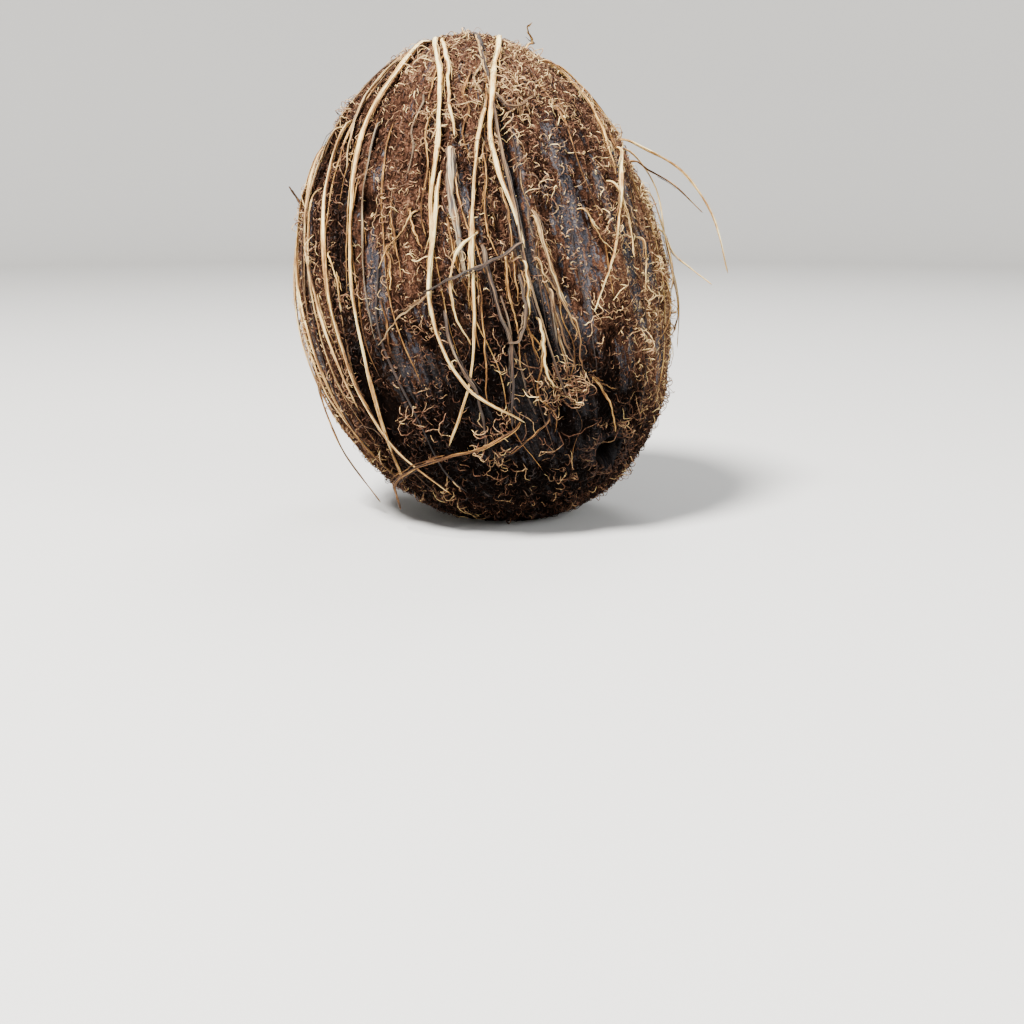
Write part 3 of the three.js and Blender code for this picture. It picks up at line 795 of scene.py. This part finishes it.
def fibre_lines(rng, places, steps, length, heading, curl, wave, height):
    """Centre lines of short fibres that start in the coir, bend as they go and keep to the nut's surface."""
    longitude, latitude = places
    count = len(longitude)
    share = np.linspace(0, 1, steps + 1)
    turning = heading[:, None] + curl[:, None] * share + wave[:, None] * waves(rng, count, share, *WAVE_TURNS)
    turning = turning + rng.normal(0, KINK, turning.shape)
    pace = length[:, None] / steps
    start = np.zeros((count, 1))
    north = np.concatenate((start, (pace * np.cos(turning))[:, 1:].cumsum(axis=1)), axis=1)
    east = np.concatenate((start, (pace * np.sin(turning))[:, 1:].cumsum(axis=1)), axis=1)
    arch = np.sin(math.pi * share**rng.uniform(0.5, 1.0, (count, 1)))
    lift = height[:, None] * arch - FIBRE_SINK * (1 - smoothstep(share, 0, 0.3))
    to_degrees = math.degrees(1) / MEAN_RADIUS
    spread = np.maximum(np.cos(np.radians(latitude)), 0.2)[:, None]
    new_latitude = np.clip(latitude[:, None] + north * to_degrees, -89.9, 89.9)
    new_longitude = longitude[:, None] + east * to_degrees / spread
    out_east, out_north, out = directions(longitude, latitude)
    drop = (north**2 + east**2) / (2 * MEAN_RADIUS)
    rise = surface(new_longitude, new_latitude) + lift - drop
    ways = out_east[:, None] * east[..., None] + out_north[:, None] * north[..., None]
    ways = ways + out[:, None] * rise[..., None]
    return over_nut(longitude, latitude, 0)[:, None] + ways, out


# Regions with paler or darker coir: longitude, latitude, half width, half height and change of tone. The
# paler top is painted light, the two narrow dark strips beside the left strands are painted shadow, and the
# dark lower regions are painted shade with the lower end's own darker coir.
REGION_TONES_AND_LIGHT = (
    (-30, 22, 26, 40, 0.01), (-74, 6, 22, 50, 0.10), (2, 4, 15, 28, -0.03), (14, 62, 64, 22, 0.14),
    (-20, -26, 40, 26, -0.21), (10, -38, 38, 26, -0.31), (0, -68, 400, 34, -0.26), (74, -6, 30, 40, 0.19),
    (-62, 20, 7, 36, -0.16), (-43, 8, 6, 36, -0.19),
)
TONE_NOISE = CellNoise(16, 10, 41)


def region_tone_and_light(longitude, latitude):
    """How much paler or darker the coir of a region is, painted light and shade included."""
    tone = 0.06 * TONE_NOISE(longitude, latitude)
    for lon, lat, half_width, half_height, change in REGION_TONES_AND_LIGHT:
        share = np.hypot(turn(longitude, lon) / half_width, (latitude - lat) / half_height)
        tone = tone + change * (1 - smoothstep(share, 0.5, 1.3))
    return tone


def can_grow(longitude, latitude):
    """0 in an eye, in a seam's crack and on the spot that the nut stands on, and 1 elsewhere."""
    out_of_eye = smoothstep(from_eye(longitude, latitude), 1.2, 2.0)
    off_floor = smoothstep(over_nut(longitude, latitude, 0)[..., 2], 1 * MM, 5 * MM)
    off_grooves = 1 - 0.95 * groove(longitude, latitude, GROOVE["clear"])
    off_gaps = 1 - 0.9 * gap(longitude, latitude)
    return out_of_eye * off_floor * (off_grooves * off_gaps)


def off_eyes(lines, *rows):
    """Only the lines that keep off every eye's recess, with their rows."""
    eyes = over_nut(np.array(EYES["longitudes"]), EYES["latitude"], 0)
    distance = np.linalg.norm(lines[:, :, None] - eyes, axis=-1).min(axis=(1, 2))
    kept = distance > EYES["radius"]
    return [row[kept] for row in (lines, *rows)]


def add_toned_piece(name, mesh, tone, grey, material):
    add_attribute(mesh, "shade", tone)
    add_attribute(mesh, "grey", grey)
    add_piece(name, mesh, material)


def fibre_piece(name, width, rng, lines, out, tone, grey, material):
    """A piece of three-sided fibres that narrow towards their tips."""
    lines, out, tone, grey = off_eyes(lines, out, tone, grey)
    count, points = lines.shape[:2]
    share = np.linspace(0, 1, points)
    profile = 1 - (1 - FIBRE_TAPER) * share**1.5
    radius = width / 2 * rng.uniform(*WIDTH_SPREAD, (count, 1)) * profile
    mesh, size = fibre_mesh(lines, radius, out, 3)
    add_toned_piece(name, mesh, np.repeat(tone, size), np.repeat(grey, size), material)


# Layers of short fibres from the shell outwards. Lengths, heights and widths are in millimetres. bare and
# covered are the shares that grow on bare shell and in the coir, clump is how far they gather in clumps, and
# lie is how far they turn off the grain, with 0 for any way.
LAYER_FIELDS = (
    "seed", "count", "steps", "length", "width", "height", "curl", "wave", "lie", "bare", "covered", "clump",
    "tone", "spread", "region", "grey",
)
FIBRE_LAYERS = {
    "shell_flecks": (
        111, 12000, 2, (0.7, 2.2), 0.30, (0.0, 0.3), 0.6, 0.3, 0.5, 1.0, 0.12, 0.5, 0.53, 0.18, 0.9, 0.35),
    "coir_felt": (
        101, 17000, 2, (1.2, 3.2), 0.36, (0.1, 0.5), 0.5, 0.3, 0.7, 0.2, 1.0, 0.0, 0.31, 0.14, 1.2, 0.12),
    "coir_fuzz_low": (
        102, 10600, 4, (1.8, 4.0), 0.28, (0.3, 0.8), 1.7, 0.6, 1.1, 0.16, 1.0, 0.4, 0.38, 0.15, 1.1, 0.06),
    "coir_fuzz_high": (
        103, 9800, 4, (1.8, 4.2), 0.26, (0.4, 1.15), 1.9, 0.8, 1.2, 0.18, 1.0, 0.8, 0.50, 0.16, 1.0, 0.06),
    "coir_curls": (
        104, 3000, 6, (2.2, 5.2), 0.26, (0.5, 1.5), 2.3, 1.0, 0.0, 0.45, 1.0, 0.7, 0.70, 0.15, 0.85, 0.05),
}


class COCONUT_OT_shell(bpy.types.Operator):
    """Make the shell with its felt of coir, its seams and its eyes"""
    bl_idname = "coconut.shell"
    bl_label = "Shell"

    def execute(self, context):
        settings = context.scene.coconut_shell
        bm = bmesh.new()
        bmesh.ops.create_uvsphere(bm, u_segments=settings.columns, v_segments=settings.rows, radius=1)
        bmesh.ops.triangulate(bm, faces=bm.faces[:])
        mesh = mesh_from(bm, "shell")
        ball = corners_of(mesh)
        latitude = np.degrees(np.arcsin(np.clip(ball[:, 2], -1, 1)))
        longitude = np.where(np.abs(latitude) > 89.9, 0, np.degrees(np.arctan2(ball[:, 0], -ball[:, 1])))
        covered = cover(longitude, latitude)
        crumbs = np.random.default_rng(SEEDS["crumbs"]).normal(0, CRUMB, len(ball)) * (0.2 + 0.8 * covered)
        places = over_nut(longitude, latitude, surface(longitude, latitude) + crumbs)
        places[:, 2] = np.maximum(places[:, 2], 0)
        mesh.vertices.foreach_set("co", places.astype(np.float32).ravel())
        around = np.radians(longitude)
        grain = np.stack((np.cos(around), np.sin(around), np.radians(latitude)), axis=-1) * MEAN_RADIUS
        # The eyes' dark, partly painted shade, and the cracks' painted shade
        eye = 1 - smoothstep(from_eye(longitude, latitude), *EYE_DARK)
        crack = smoothstep(groove(longitude, latitude, GROOVE["half_width"]), *GROOVE_SHADE)
        add_attribute(mesh, "grain", grain, "FLOAT_VECTOR")
        add_attribute(mesh, "cover", covered)
        # Region tone with its painted light and shade
        add_attribute(mesh, "tone", region_tone_and_light(longitude, latitude))
        add_attribute(mesh, "depth", fine_relief(longitude, latitude) / (0.6 * MM))
        add_attribute(mesh, "dark", np.maximum(eye, 0.85 * crack))
        add_piece("shell", mesh, shell_material(settings))
        return {"FINISHED"}


class COCONUT_OT_fibres(bpy.types.Operator):
    """Grow the layers of short fibres that make the coir"""
    bl_idname = "coconut.fibres"
    bl_label = "Short fibres"

    def execute(self, context):
        settings = context.scene.coconut_fibres
        material = fibre_material(settings)
        for name, row in FIBRE_LAYERS.items():
            layer = SimpleNamespace(**dict(zip(LAYER_FIELDS, row, strict=True)))
            self.grow(name, layer, settings, material)
        return {"FINISHED"}

    def grow(self, name, layer, settings, material):
        rng = np.random.default_rng(layer.seed)
        count = int(layer.count * settings.amount)

        def weight(longitude, latitude):
            covered = layer.bare + (layer.covered - layer.bare) * cover(longitude, latitude)
            clumps = 1 - layer.clump * (0.5 - 0.5 * CLUMP_NOISE(longitude, latitude))
            return covered * clumps * can_grow(longitude, latitude)

        places = scatter(rng, count, weight)
        any_way = rng.uniform(0, 2 * math.pi, count)
        heading = rng.normal(math.pi, layer.lie, count) if layer.lie else any_way
        length = rng.uniform(*layer.length, count) * MM
        height = rng.uniform(*layer.height, count) * MM
        curl = rng.normal(0, layer.curl, count)
        wave = rng.normal(0, layer.wave, count)
        lines, out = fibre_lines(rng, places, layer.steps, length, heading, curl, wave, height)
        # The region's painted light and shade reach the fibres too
        tone = layer.tone + layer.region * region_tone_and_light(*places) + rng.normal(0, layer.spread, count)
        grey = np.where(rng.random(count) < layer.grey, 0.7, 0.0)
        width = layer.width * MM * settings.thickness
        fibre_piece(name, width, rng, lines, out, tone, grey, material)


# Tufts, the same places and sizes as the solid's, with more fibres in each
TUFTS = {"count": 84, "heights": (2.2, 3.6), "length": 6.5, "lowest": 7 * MM}
TUFT_FIBRES = 13
TUFT_STEPS = 8
TUFT_WIDTH = 0.26
TUFT_SPREAD = 2.1  # how far a fibre starts from its tuft's middle, in degrees
GOLDEN_ANGLE = 137.5
# Fuzz round each eye: lengths in millimetres, and its distance from the middle in radii of an eye
RIM = {
    "count": 190, "steps": 5, "away": (1.1, 2.0), "length": (1.6, 3.6), "height": (0.3, 1.1), "width": 0.28,
    "tone": 0.42, "grey": (0.1, 0.7),
}
FRONT_HEIGHT = 2.4  # height of the front's own tufts in millimetres
# More tufts where the front has them: longitude and latitude
FRONT_TUFTS = (
    (11, -25), (17, -29), (22, -26), (-14, -46), (14, -31), (20, -27), (18, 46), (25, 42), (22, 37), (21, 50),
    (12, 48), (27, 40), (30, 47), (-4, 40), (-8, 32), (-12, -34), (60, -14), (16, -24), (24, -30), (-2, -32),
)


def tuft_roots(draw):
    """Longitude, latitude, height and heading of each tuft."""
    roots = []
    for index in range(TUFTS["count"]):
        latitude = math.degrees(math.asin(1 - (2 * index + 1) / TUFTS["count"]))
        low, high = TUFTS["heights"]
        height = low + (high - low) * next(draw)
        heading = 2 * math.pi * next(draw)
        longitude = index * GOLDEN_ANGLE
        if over_coir(longitude, latitude, ROOT_DEPTH * MM)[2] > TUFTS["lowest"]:
            roots.append((longitude, latitude, height, heading))
    return roots


class COCONUT_OT_tufts(bpy.types.Operator):
    """Grow the curly tufts and the fuzzy rims of the eyes"""
    bl_idname = "coconut.tufts"
    bl_label = "Tufts and eye rims"

    def execute(self, context):
        settings = context.scene.coconut_fibres
        rng = np.random.default_rng(SEEDS["tufts"])
        draw = draws(SEED)
        back_strands(draw)
        roots = tuft_roots(draw)
        roots += [(lon, lat, FRONT_HEIGHT, rng.uniform(0, 2 * math.pi)) for lon, lat in FRONT_TUFTS]
        longitude, latitude, height, heading = (np.repeat(row, TUFT_FIBRES) for row in np.array(roots).T)
        count = len(longitude)
        spot = rng.normal(0, TUFT_SPREAD, (2, count))
        longitude = longitude + spot[0] / np.maximum(np.cos(np.radians(latitude)), 0.2)
        latitude = np.clip(latitude + spot[1], -89, 89)
        places = longitude, latitude
        height = height * rng.uniform(0.5, 1.0, count) * MM
        length = TUFTS["length"] * rng.uniform(0.6, 1.25, count) * MM
        lines, out = fibre_lines(
            rng, places, TUFT_STEPS, length, heading + rng.normal(0, 1.5, count), rng.normal(0, 2.1, count),
            rng.normal(0, 0.9, count), height)
        # Tufts take the region's painted light and shade
        tone = 0.74 + 0.45 * np.maximum(region_tone_and_light(*places), -0.22) + rng.normal(0, 0.12, count)
        material = fibre_material(settings)
        width = TUFT_WIDTH * MM * settings.thickness
        fibre_piece("coir_tufts", width, rng, lines, out, tone, np.zeros(count), material)
        self.make_rims(settings, material)
        return {"FINISHED"}

    def make_rims(self, settings, material):
        rng = np.random.default_rng(SEEDS["rims"])
        eye = np.repeat(EYES["longitudes"], RIM["count"])
        count = len(eye)
        around = rng.uniform(0, 2 * math.pi, count)
        away = EYES["radius"] * rng.uniform(*RIM["away"], count) / MEAN_RADIUS
        latitude = EYES["latitude"] + np.degrees(away * np.cos(around))
        longitude = eye + np.degrees(away * np.sin(around)) / math.cos(math.radians(EYES["latitude"]))
        lines, out = fibre_lines(
            rng, (longitude, latitude), RIM["steps"], rng.uniform(*RIM["length"], count) * MM,
            around + rng.normal(0, 0.8, count), rng.normal(0, 0.8, count), rng.normal(0, 0.4, count),
            rng.uniform(*RIM["height"], count) * MM)
        tone = RIM["tone"] + rng.normal(0, 0.13, count)
        grey = rng.uniform(*RIM["grey"], count)
        fibre_piece("eye_rims", RIM["width"] * MM * settings.thickness, rng, lines, out, tone, grey, material)


# Strands

BACK_STRANDS = {
    "count": 15, "longitudes": (100, 250), "tops": (30, 64), "lengths": (50, 100), "bottom": -44,
    "widths": (0.9, 1.4), "wander": 6, "places": (0, 0.35, 0.7, 1),
}


def back_strands(draw):
    """The far side's strands, the same as the solid's."""
    rule = BACK_STRANDS
    low, high = rule["longitudes"]
    strands = []

    def between(pair):
        return pair[0] + (pair[1] - pair[0]) * next(draw)

    for index in range(rule["count"]):
        longitude = low + (high - low) * (index + 0.5) / rule["count"]
        start = between(rule["tops"])
        end = max(rule["bottom"], start - between(rule["lengths"]))
        path = tuple(
            (longitude + rule["wander"] * (next(draw) - 0.5), start + (end - start) * share)
            for share in rule["places"]
        )
        tone = 0.55 + 0.4 * (index * 0.618 % 1)
        grey = 0.8 * (index * 0.37 % 1)**2
        strands.append((between(rule["widths"]), tone, grey, path))
    return strands


def smooth_curve(points, count):
    """Evenly spaced points on the centripetal curve through points, which the solid's strands follow."""
    points = np.concatenate(([2 * points[0] - points[1]], points, [2 * points[-1] - points[-2]]))
    gaps = np.maximum(np.linalg.norm(np.diff(points, axis=0), axis=1)**0.5, 1e-6)
    pieces = []
    for i in range(1, len(points) - 2):
        before, start, end, after = points[i - 1:i + 3]
        gap_before, gap, gap_after = gaps[i - 1:i + 2]
        way = (end - start) / gap
        leave = ((start - before) / gap_before - (end - before) / (gap_before + gap) + way) * gap
        enter = (way - (after - start) / (gap + gap_after) + (after - end) / gap_after) * gap
        t = np.linspace(0, 1, 24, endpoint=i == len(points) - 3)[:, None]
        pieces.append((2 * t**3 - 3 * t**2 + 1) * start + (t**3 - 2 * t**2 + t) * leave
                      + (3 * t**2 - 2 * t**3) * end + (t**3 - t**2) * enter)
    dense = np.concatenate(pieces)
    run = np.concatenate(([0], np.linalg.norm(np.diff(dense, axis=0), axis=1).cumsum()))
    even = np.linspace(0, run[-1], count)
    return np.stack([np.interp(even, run, dense[:, axis]) for axis in range(3)], axis=1)


def strand_line(path, count):
    """The centre line of a strand rooted at its first point."""
    places = np.array([(*point, STRAND_HEIGHT)[:3] for point in path], float)
    places[0, 2] = ROOT_DEPTH
    (longitude, latitude), (next_longitude, next_latitude) = path[0][:2], path[1][:2]
    just_out = (
        longitude + RISE * turn(next_longitude, longitude),
        latitude + RISE * (next_latitude - latitude),
        STRAND_HEIGHT,
    )
    places = np.insert(places, 1, just_out, axis=0)
    return smooth_curve(over_coir(places[:, 0], places[:, 1], places[:, 2] * MM), count)


def sideways(lines):
    """The direction across each strand and along the nut's surface."""
    return unit(np.cross(unit(np.gradient(lines, axis=1)), unit(lines - CENTRE)))


def wandered(rng, lines, size):
    """Strands with the small uneven bends of real ones."""
    count, points = lines.shape[:2]
    share = np.linspace(0, 1, points)
    slow = waves(rng, count, share, 2, 5)
    quick = waves(rng, count, share, 6, 12)
    ends = smoothstep(share, 0, 0.1)[:, None]
    return lines + sideways(lines) * ends * (size * (slow + 0.4 * quick))[..., None]


SHADE_BELOW = 12 * MM, 68 * MM  # painted shade on strands, darkest under the first height and none over the second
LOW_SHADE = 0.24


def strand_piece(name, flatness, rng, lines, widths, sides, tone, grey, material, taper=0.5):
    """A piece of flattened, furrowed strands with uneven widths."""
    count, points = lines.shape[:2]
    share = np.linspace(0, 1, points)
    swelling = 1 + 0.13 * waves(rng, count, share, 2, 5) + 0.06 * waves(rng, count, share, 7, 13)
    profile = (1 - (1 - taper) * share**3) * (1 - 0.35 * (1 - smoothstep(share, 0, 0.06)))
    radius = widths[:, None] / 2 * swelling * profile
    first = unit(lines[:, 0] - CENTRE)
    furrow = 0.2 if sides > 5 else 0.0
    twist = 0.5 * waves(rng, count, share, 0.5, 2)
    mesh, size = fibre_mesh(lines, radius, first, sides, flatness, furrow, twist)
    low = 1 - smoothstep(corners_of(mesh)[:, 2], *SHADE_BELOW)
    # Painted shade: strands darker lower down
    add_toned_piece(name, mesh, np.repeat(tone, size) - LOW_SHADE * low, np.repeat(grey, size), material)


def along_grain(rng, longitude, top, length, drift, wander, height, steps):
    """Lines that follow the grain down the nut, a little off it. Angles are in degrees."""
    count = len(longitude)
    share = np.linspace(0, 1, steps + 1)
    bottom = np.maximum(top - length, -50)
    latitude = top[:, None] + (bottom - top)[:, None] * share
    off = rng.normal(0, drift, (count, 1)) * share + rng.normal(0, wander, (count, 1)) * waves(
        rng, count, share, 1, 2.5)
    where = longitude[:, None] + off / np.maximum(np.cos(np.radians(latitude)), 0.35)
    sink = 1.6 * MM * (1 - smoothstep(share, 0, 0.05))
    return over_nut(where, latitude, relief(where, latitude) + height[:, None] - sink)


WIDENING = 1.12  # width of a strand against the solid's
STRAND_POINTS = 45
STRAND_WANDER = 0.16 * MM  # reach of a strand's small bends
SPLITS_EACH = 2
SPLIT_POINTS = 17


class COCONUT_OT_strands(bpy.types.Operator):
    """Lay the long loose strands over the nut, with the splits beside them"""
    bl_idname = "coconut.strands"
    bl_label = "Strands"

    def execute(self, context):
        settings = context.scene.coconut_strands
        rng = np.random.default_rng(SEEDS["strands"])
        strands = [*STRANDS, *back_strands(draws(SEED)), *THREADS]
        lines = np.array([strand_line(path, STRAND_POINTS) for *_, path in strands])
        lines = wandered(rng, lines, STRAND_WANDER)
        widths, tone, grey = (np.array([strand[i] for strand in strands]) for i in range(3))
        material = strand_material(context.scene.coconut_fibres)
        strand_piece(
            "long_strands", settings.flatness, rng, lines, widths * WIDENING * MM, 8, tone * 0.88 + 0.02,
            grey, material)
        self.make_splits(settings, rng, lines, widths, tone, grey, material)
        return {"FINISHED"}

    def make_splits(self, settings, rng, lines, widths, tone, grey, material):
        """Thin fibres split off the strands, that leave them a little towards one end."""
        each, points = SPLITS_EACH, SPLIT_POINTS
        count = len(lines) * each
        start = rng.uniform(0.02, 0.6, count)
        end = start + rng.uniform(0.15, 0.4, count)
        places = np.arange(lines.shape[1]) / (lines.shape[1] - 1)
        beside = sideways(lines)
        splits = []
        for i in range(count):
            strand = i // each
            share = np.linspace(start[i], min(end[i], 1), points)
            line, across = (
                np.stack([np.interp(share, places, field[strand][:, axis]) for axis in range(3)], axis=1)
                for field in (lines, beside)
            )
            gap = widths[strand] * MM * 0.5 + rng.uniform(0, 0.25) * MM
            leave = rng.uniform(0, 1.6) * MM * np.linspace(0, 1, points)**3
            out = unit(line - CENTRE) * rng.uniform(-0.5, 0.3) * MM
            splits.append(line + across * (rng.choice((-1, 1)) * (gap + leave))[:, None] + out)
        splits = wandered(rng, np.array(splits), 0.12 * MM)
        split_widths = rng.uniform(0.3, 0.6, count) * MM
        split_tone = np.repeat(tone, each) * 0.8 + rng.normal(-0.06, 0.12, count)
        split_grey = np.clip(np.repeat(grey, each) + rng.normal(0, 0.25, count), 0, 1)
        strand_piece(
            "strand_splits", settings.flatness, rng, splits, split_widths, 5, split_tone, split_grey,
            material, 0.3)


class COCONUT_OT_grain(bpy.types.Operator):
    """Lay the thin strands of the grain and the woody splinters of the seams"""
    bl_idname = "coconut.grain"
    bl_label = "Grain and splinters"

    def execute(self, context):
        settings = context.scene.coconut_strands
        material = strand_material(context.scene.coconut_fibres)
        rng = np.random.default_rng(SEEDS["grain"])
        count = settings.grain_count
        longitude = rng.uniform(-180, 180, count)
        height = rng.uniform(0.1, 0.9, count) * MM
        lines = along_grain(
            rng, longitude, rng.uniform(-10, 74, count), rng.uniform(20, 80, count), 3.5, 0.9, height, 26)
        lines = wandered(rng, lines, 0.12 * MM)
        widths = rng.uniform(0.35, 0.95, count) * MM
        tone = np.clip(rng.normal(0.38, 0.16, count), 0.12, 0.85)
        grey = np.where(rng.random(count) < 0.3, rng.uniform(0.3, 0.9, count), 0.0)
        lines, widths, tone, grey = off_eyes(lines, widths, tone, grey)
        strand_piece("grain_strands", settings.flatness, rng, lines, widths, 6, tone, grey, material)
        self.make_splinters(settings, material)
        return {"FINISHED"}

    def make_splinters(self, settings, material):
        rng = np.random.default_rng(SEEDS["splinters"])
        seams = np.repeat(SEAM["longitudes"], settings.splinter_count)
        count = len(seams)
        side = rng.choice((-1, 1), count)
        longitude = seams + side * (GROOVE["half_width"] * 1.5 + np.abs(rng.normal(0, 2.8, count)))
        height = rng.uniform(-0.3, 0.5, count) * MM
        lines = along_grain(
            rng, longitude, rng.uniform(-22, 48, count), rng.uniform(8, 34, count), 1.0, 0.4, height, 20)
        widths = rng.uniform(0.35, 0.9, count) * MM
        tone = np.clip(rng.normal(0.36, 0.18, count), 0.08, 0.8)
        grey = rng.uniform(0.2, 0.9, count)
        strand_piece("seam_splinters", 0.45, rng, lines, widths, 6, tone, grey, material)


HAIR_STEPS = 10
HAIR_LENGTH = 7, 20  # millimetres
HAIR_HEIGHT = 0.5, 1.7  # millimetres
HAIR_TONE = 0.62


class COCONUT_OT_hairs(bpy.types.Operator):
    """Strew fine loose hairs over the coir"""
    bl_idname = "coconut.hairs"
    bl_label = "Loose hairs"

    def execute(self, context):
        settings = context.scene.coconut_strands
        rng = np.random.default_rng(SEEDS["hairs"])
        count = settings.hair_count
        places = scatter(rng, count, can_grow)
        heading = rng.normal(math.pi, 0.9, count)
        lines, out = fibre_lines(
            rng, places, HAIR_STEPS, rng.uniform(*HAIR_LENGTH, count) * MM, heading,
            rng.normal(0, 1.6, count), rng.normal(0, 0.8, count), rng.uniform(*HAIR_HEIGHT, count) * MM)
        tone = HAIR_TONE + rng.normal(0, 0.16, count)
        grey = np.where(rng.random(count) < 0.25, 0.6, 0.0)
        material = fibre_material(context.scene.coconut_fibres)
        fibre_piece("loose_hairs", settings.hair_width, rng, lines, out, tone, grey, material)
        return {"FINISHED"}


# Stage

CAMERA_PLACE = np.array((9.0, -477.9, 36.4)) * MM  # from the nut's centre
CAMERA_PITCH = 12.5  # degrees below the horizon
SENSOR = 36  # millimetres across the sensor
FLOOR_RADIUS = 1.3
FLOOR_SIDES = 96
BACKDROP_BEND = 0.35
BEND_STEPS = 12
BACKDROP_HEIGHT = 0.45
# Lights: the setting of its power, place, size and colour
LIGHTS = {
    "key": ("key_power", (-0.46, -0.56, 1.12), 0.34, (1.0, 0.975, 0.94)),
    "fill": ("fill_power", (0.9, -0.6, 0.6), 0.6, (0.94, 0.97, 1.0)),
    "back": ("fill_power", (0.25, 0.7, 0.95), 0.5, (1, 1, 1)),
}
DAYLIGHT_COLOUR = 0.95, 0.97, 1, 1


def add_light(name, place, size, power, colour):
    light = bpy.data.lights.new(name, "AREA")
    light.shape = "DISK"
    light.size = size
    light.energy = power
    light.color = colour
    lamp = add_object(name, light)
    lamp.location = place
    lamp.rotation_euler = (Vector(CENTRE) - Vector(place)).to_track_quat("-Z", "Y").to_euler()


class COCONUT_OT_stage(bpy.types.Operator):
    """Set up the pale floor and backdrop, the soft lights and the camera"""
    bl_idname = "coconut.stage"
    bl_label = "Stage"

    def execute(self, context):
        settings = context.scene.coconut_stage
        self.make_floor(settings)
        self.make_lights(context, settings)
        self.make_camera(context, settings)
        return {"FINISHED"}

    def make_floor(self, settings):
        """A round sheet that runs out along the floor and bends up all round into a low backdrop."""
        bm = bmesh.new()
        bmesh.ops.create_circle(bm, cap_ends=True, segments=FLOOR_SIDES, radius=FLOOR_RADIUS)
        edges = bm.edges[:]
        radius = FLOOR_RADIUS
        stride = BACKDROP_BEND * math.pi / 2 / BEND_STEPS
        angles = [(i + 0.5) / BEND_STEPS * math.pi / 2 for i in range(BEND_STEPS)]
        steps = [(stride * math.cos(angle), stride * math.sin(angle)) for angle in angles]
        for outward, up in (*steps, (0, BACKDROP_HEIGHT)):
            verts, edges = extruded(bm, edges)
            growth = (radius + outward) / radius
            bmesh.ops.scale(bm, verts=verts, vec=(growth, growth, 1))
            bmesh.ops.translate(bm, verts=verts, vec=(0, 0, up))
            radius += outward
        bmesh.ops.recalc_face_normals(bm, faces=bm.faces[:])
        if bm.faces[0].normal.z < 0:
            bmesh.ops.reverse_faces(bm, faces=bm.faces[:])
        mesh = mesh_from(bm, "floor")
        mesh.polygons.foreach_set("use_smooth", np.full(len(mesh.polygons), True))
        shader = Shader("pale_floor", roughness=0.8, specular_ior_level=0.2)
        mottle = shader.noise(shader.place(), 2, 2)
        colour = shader.mix(mottle * 0.06, settings.floor_colour, (0.5, 0.5, 0.5))
        mesh.materials.append(shader.finish(base_color=colour))
        floor = add_object("floor", mesh)

    def make_lights(self, context, settings):
        for name, (power, place, size, colour) in LIGHTS.items():
            add_light(name, place, size, getattr(settings, power), colour)
        world = bpy.data.worlds.new("studio")
        world.use_nodes = True
        background = world.node_tree.nodes["Background"]
        background.inputs["Color"].default_value = DAYLIGHT_COLOUR
        background.inputs["Strength"].default_value = settings.daylight
        context.scene.world = world

    def make_camera(self, context, settings):
        data = bpy.data.cameras.new("camera")
        data.lens = settings.lens
        data.sensor_width = SENSOR
        data.clip_start = 0.01
        camera = add_object("camera", data)
        camera.location = Vector(CENTRE + CAMERA_PLACE)
        camera.rotation_euler = (math.radians(90 - CAMERA_PITCH), 0, 0)
        context.scene.camera = camera


class COCONUT_PT_panel(bpy.types.Panel):
    """Lists the coconut's settings and operators"""
    bl_idname = "COCONUT_PT_panel"
    bl_label = "Coconut"
    bl_space_type = "VIEW_3D"
    bl_region_type = "UI"
    bl_category = "Coconut"

    def draw(self, context):
        for group in SETTINGS:
            settings = getattr(context.scene, group)
            for name in settings.__annotations__:
                self.layout.prop(settings, name)
        for operator in OPERATORS:
            self.layout.operator(operator.bl_idname)


SETTINGS = {
    "coconut_shell": CoconutShellSettings,
    "coconut_fibres": CoconutFibreSettings,
    "coconut_strands": CoconutStrandSettings,
    "coconut_stage": CoconutStageSettings,
}
OPERATORS = (
    COCONUT_OT_shell, COCONUT_OT_fibres, COCONUT_OT_tufts, COCONUT_OT_strands, COCONUT_OT_grain,
    COCONUT_OT_hairs, COCONUT_OT_stage,
)


def register():
    for item in (*SETTINGS.values(), *OPERATORS, COCONUT_PT_panel):
        bpy.utils.register_class(item)
    for name, group in SETTINGS.items():
        setattr(bpy.types.Scene, name, bpy.props.PointerProperty(type=group))


def unregister():
    for name in SETTINGS:
        delattr(bpy.types.Scene, name)
    for item in (COCONUT_PT_panel, *reversed(OPERATORS), *SETTINGS.values()):
        bpy.utils.unregister_class(item)


def main():
    register()
    bpy.ops.coconut.shell()
    bpy.ops.coconut.fibres()
    bpy.ops.coconut.tufts()
    bpy.ops.coconut.strands()
    bpy.ops.coconut.grain()
    bpy.ops.coconut.hairs()
    bpy.ops.coconut.stage()


if __name__ == "__main__":
    main()
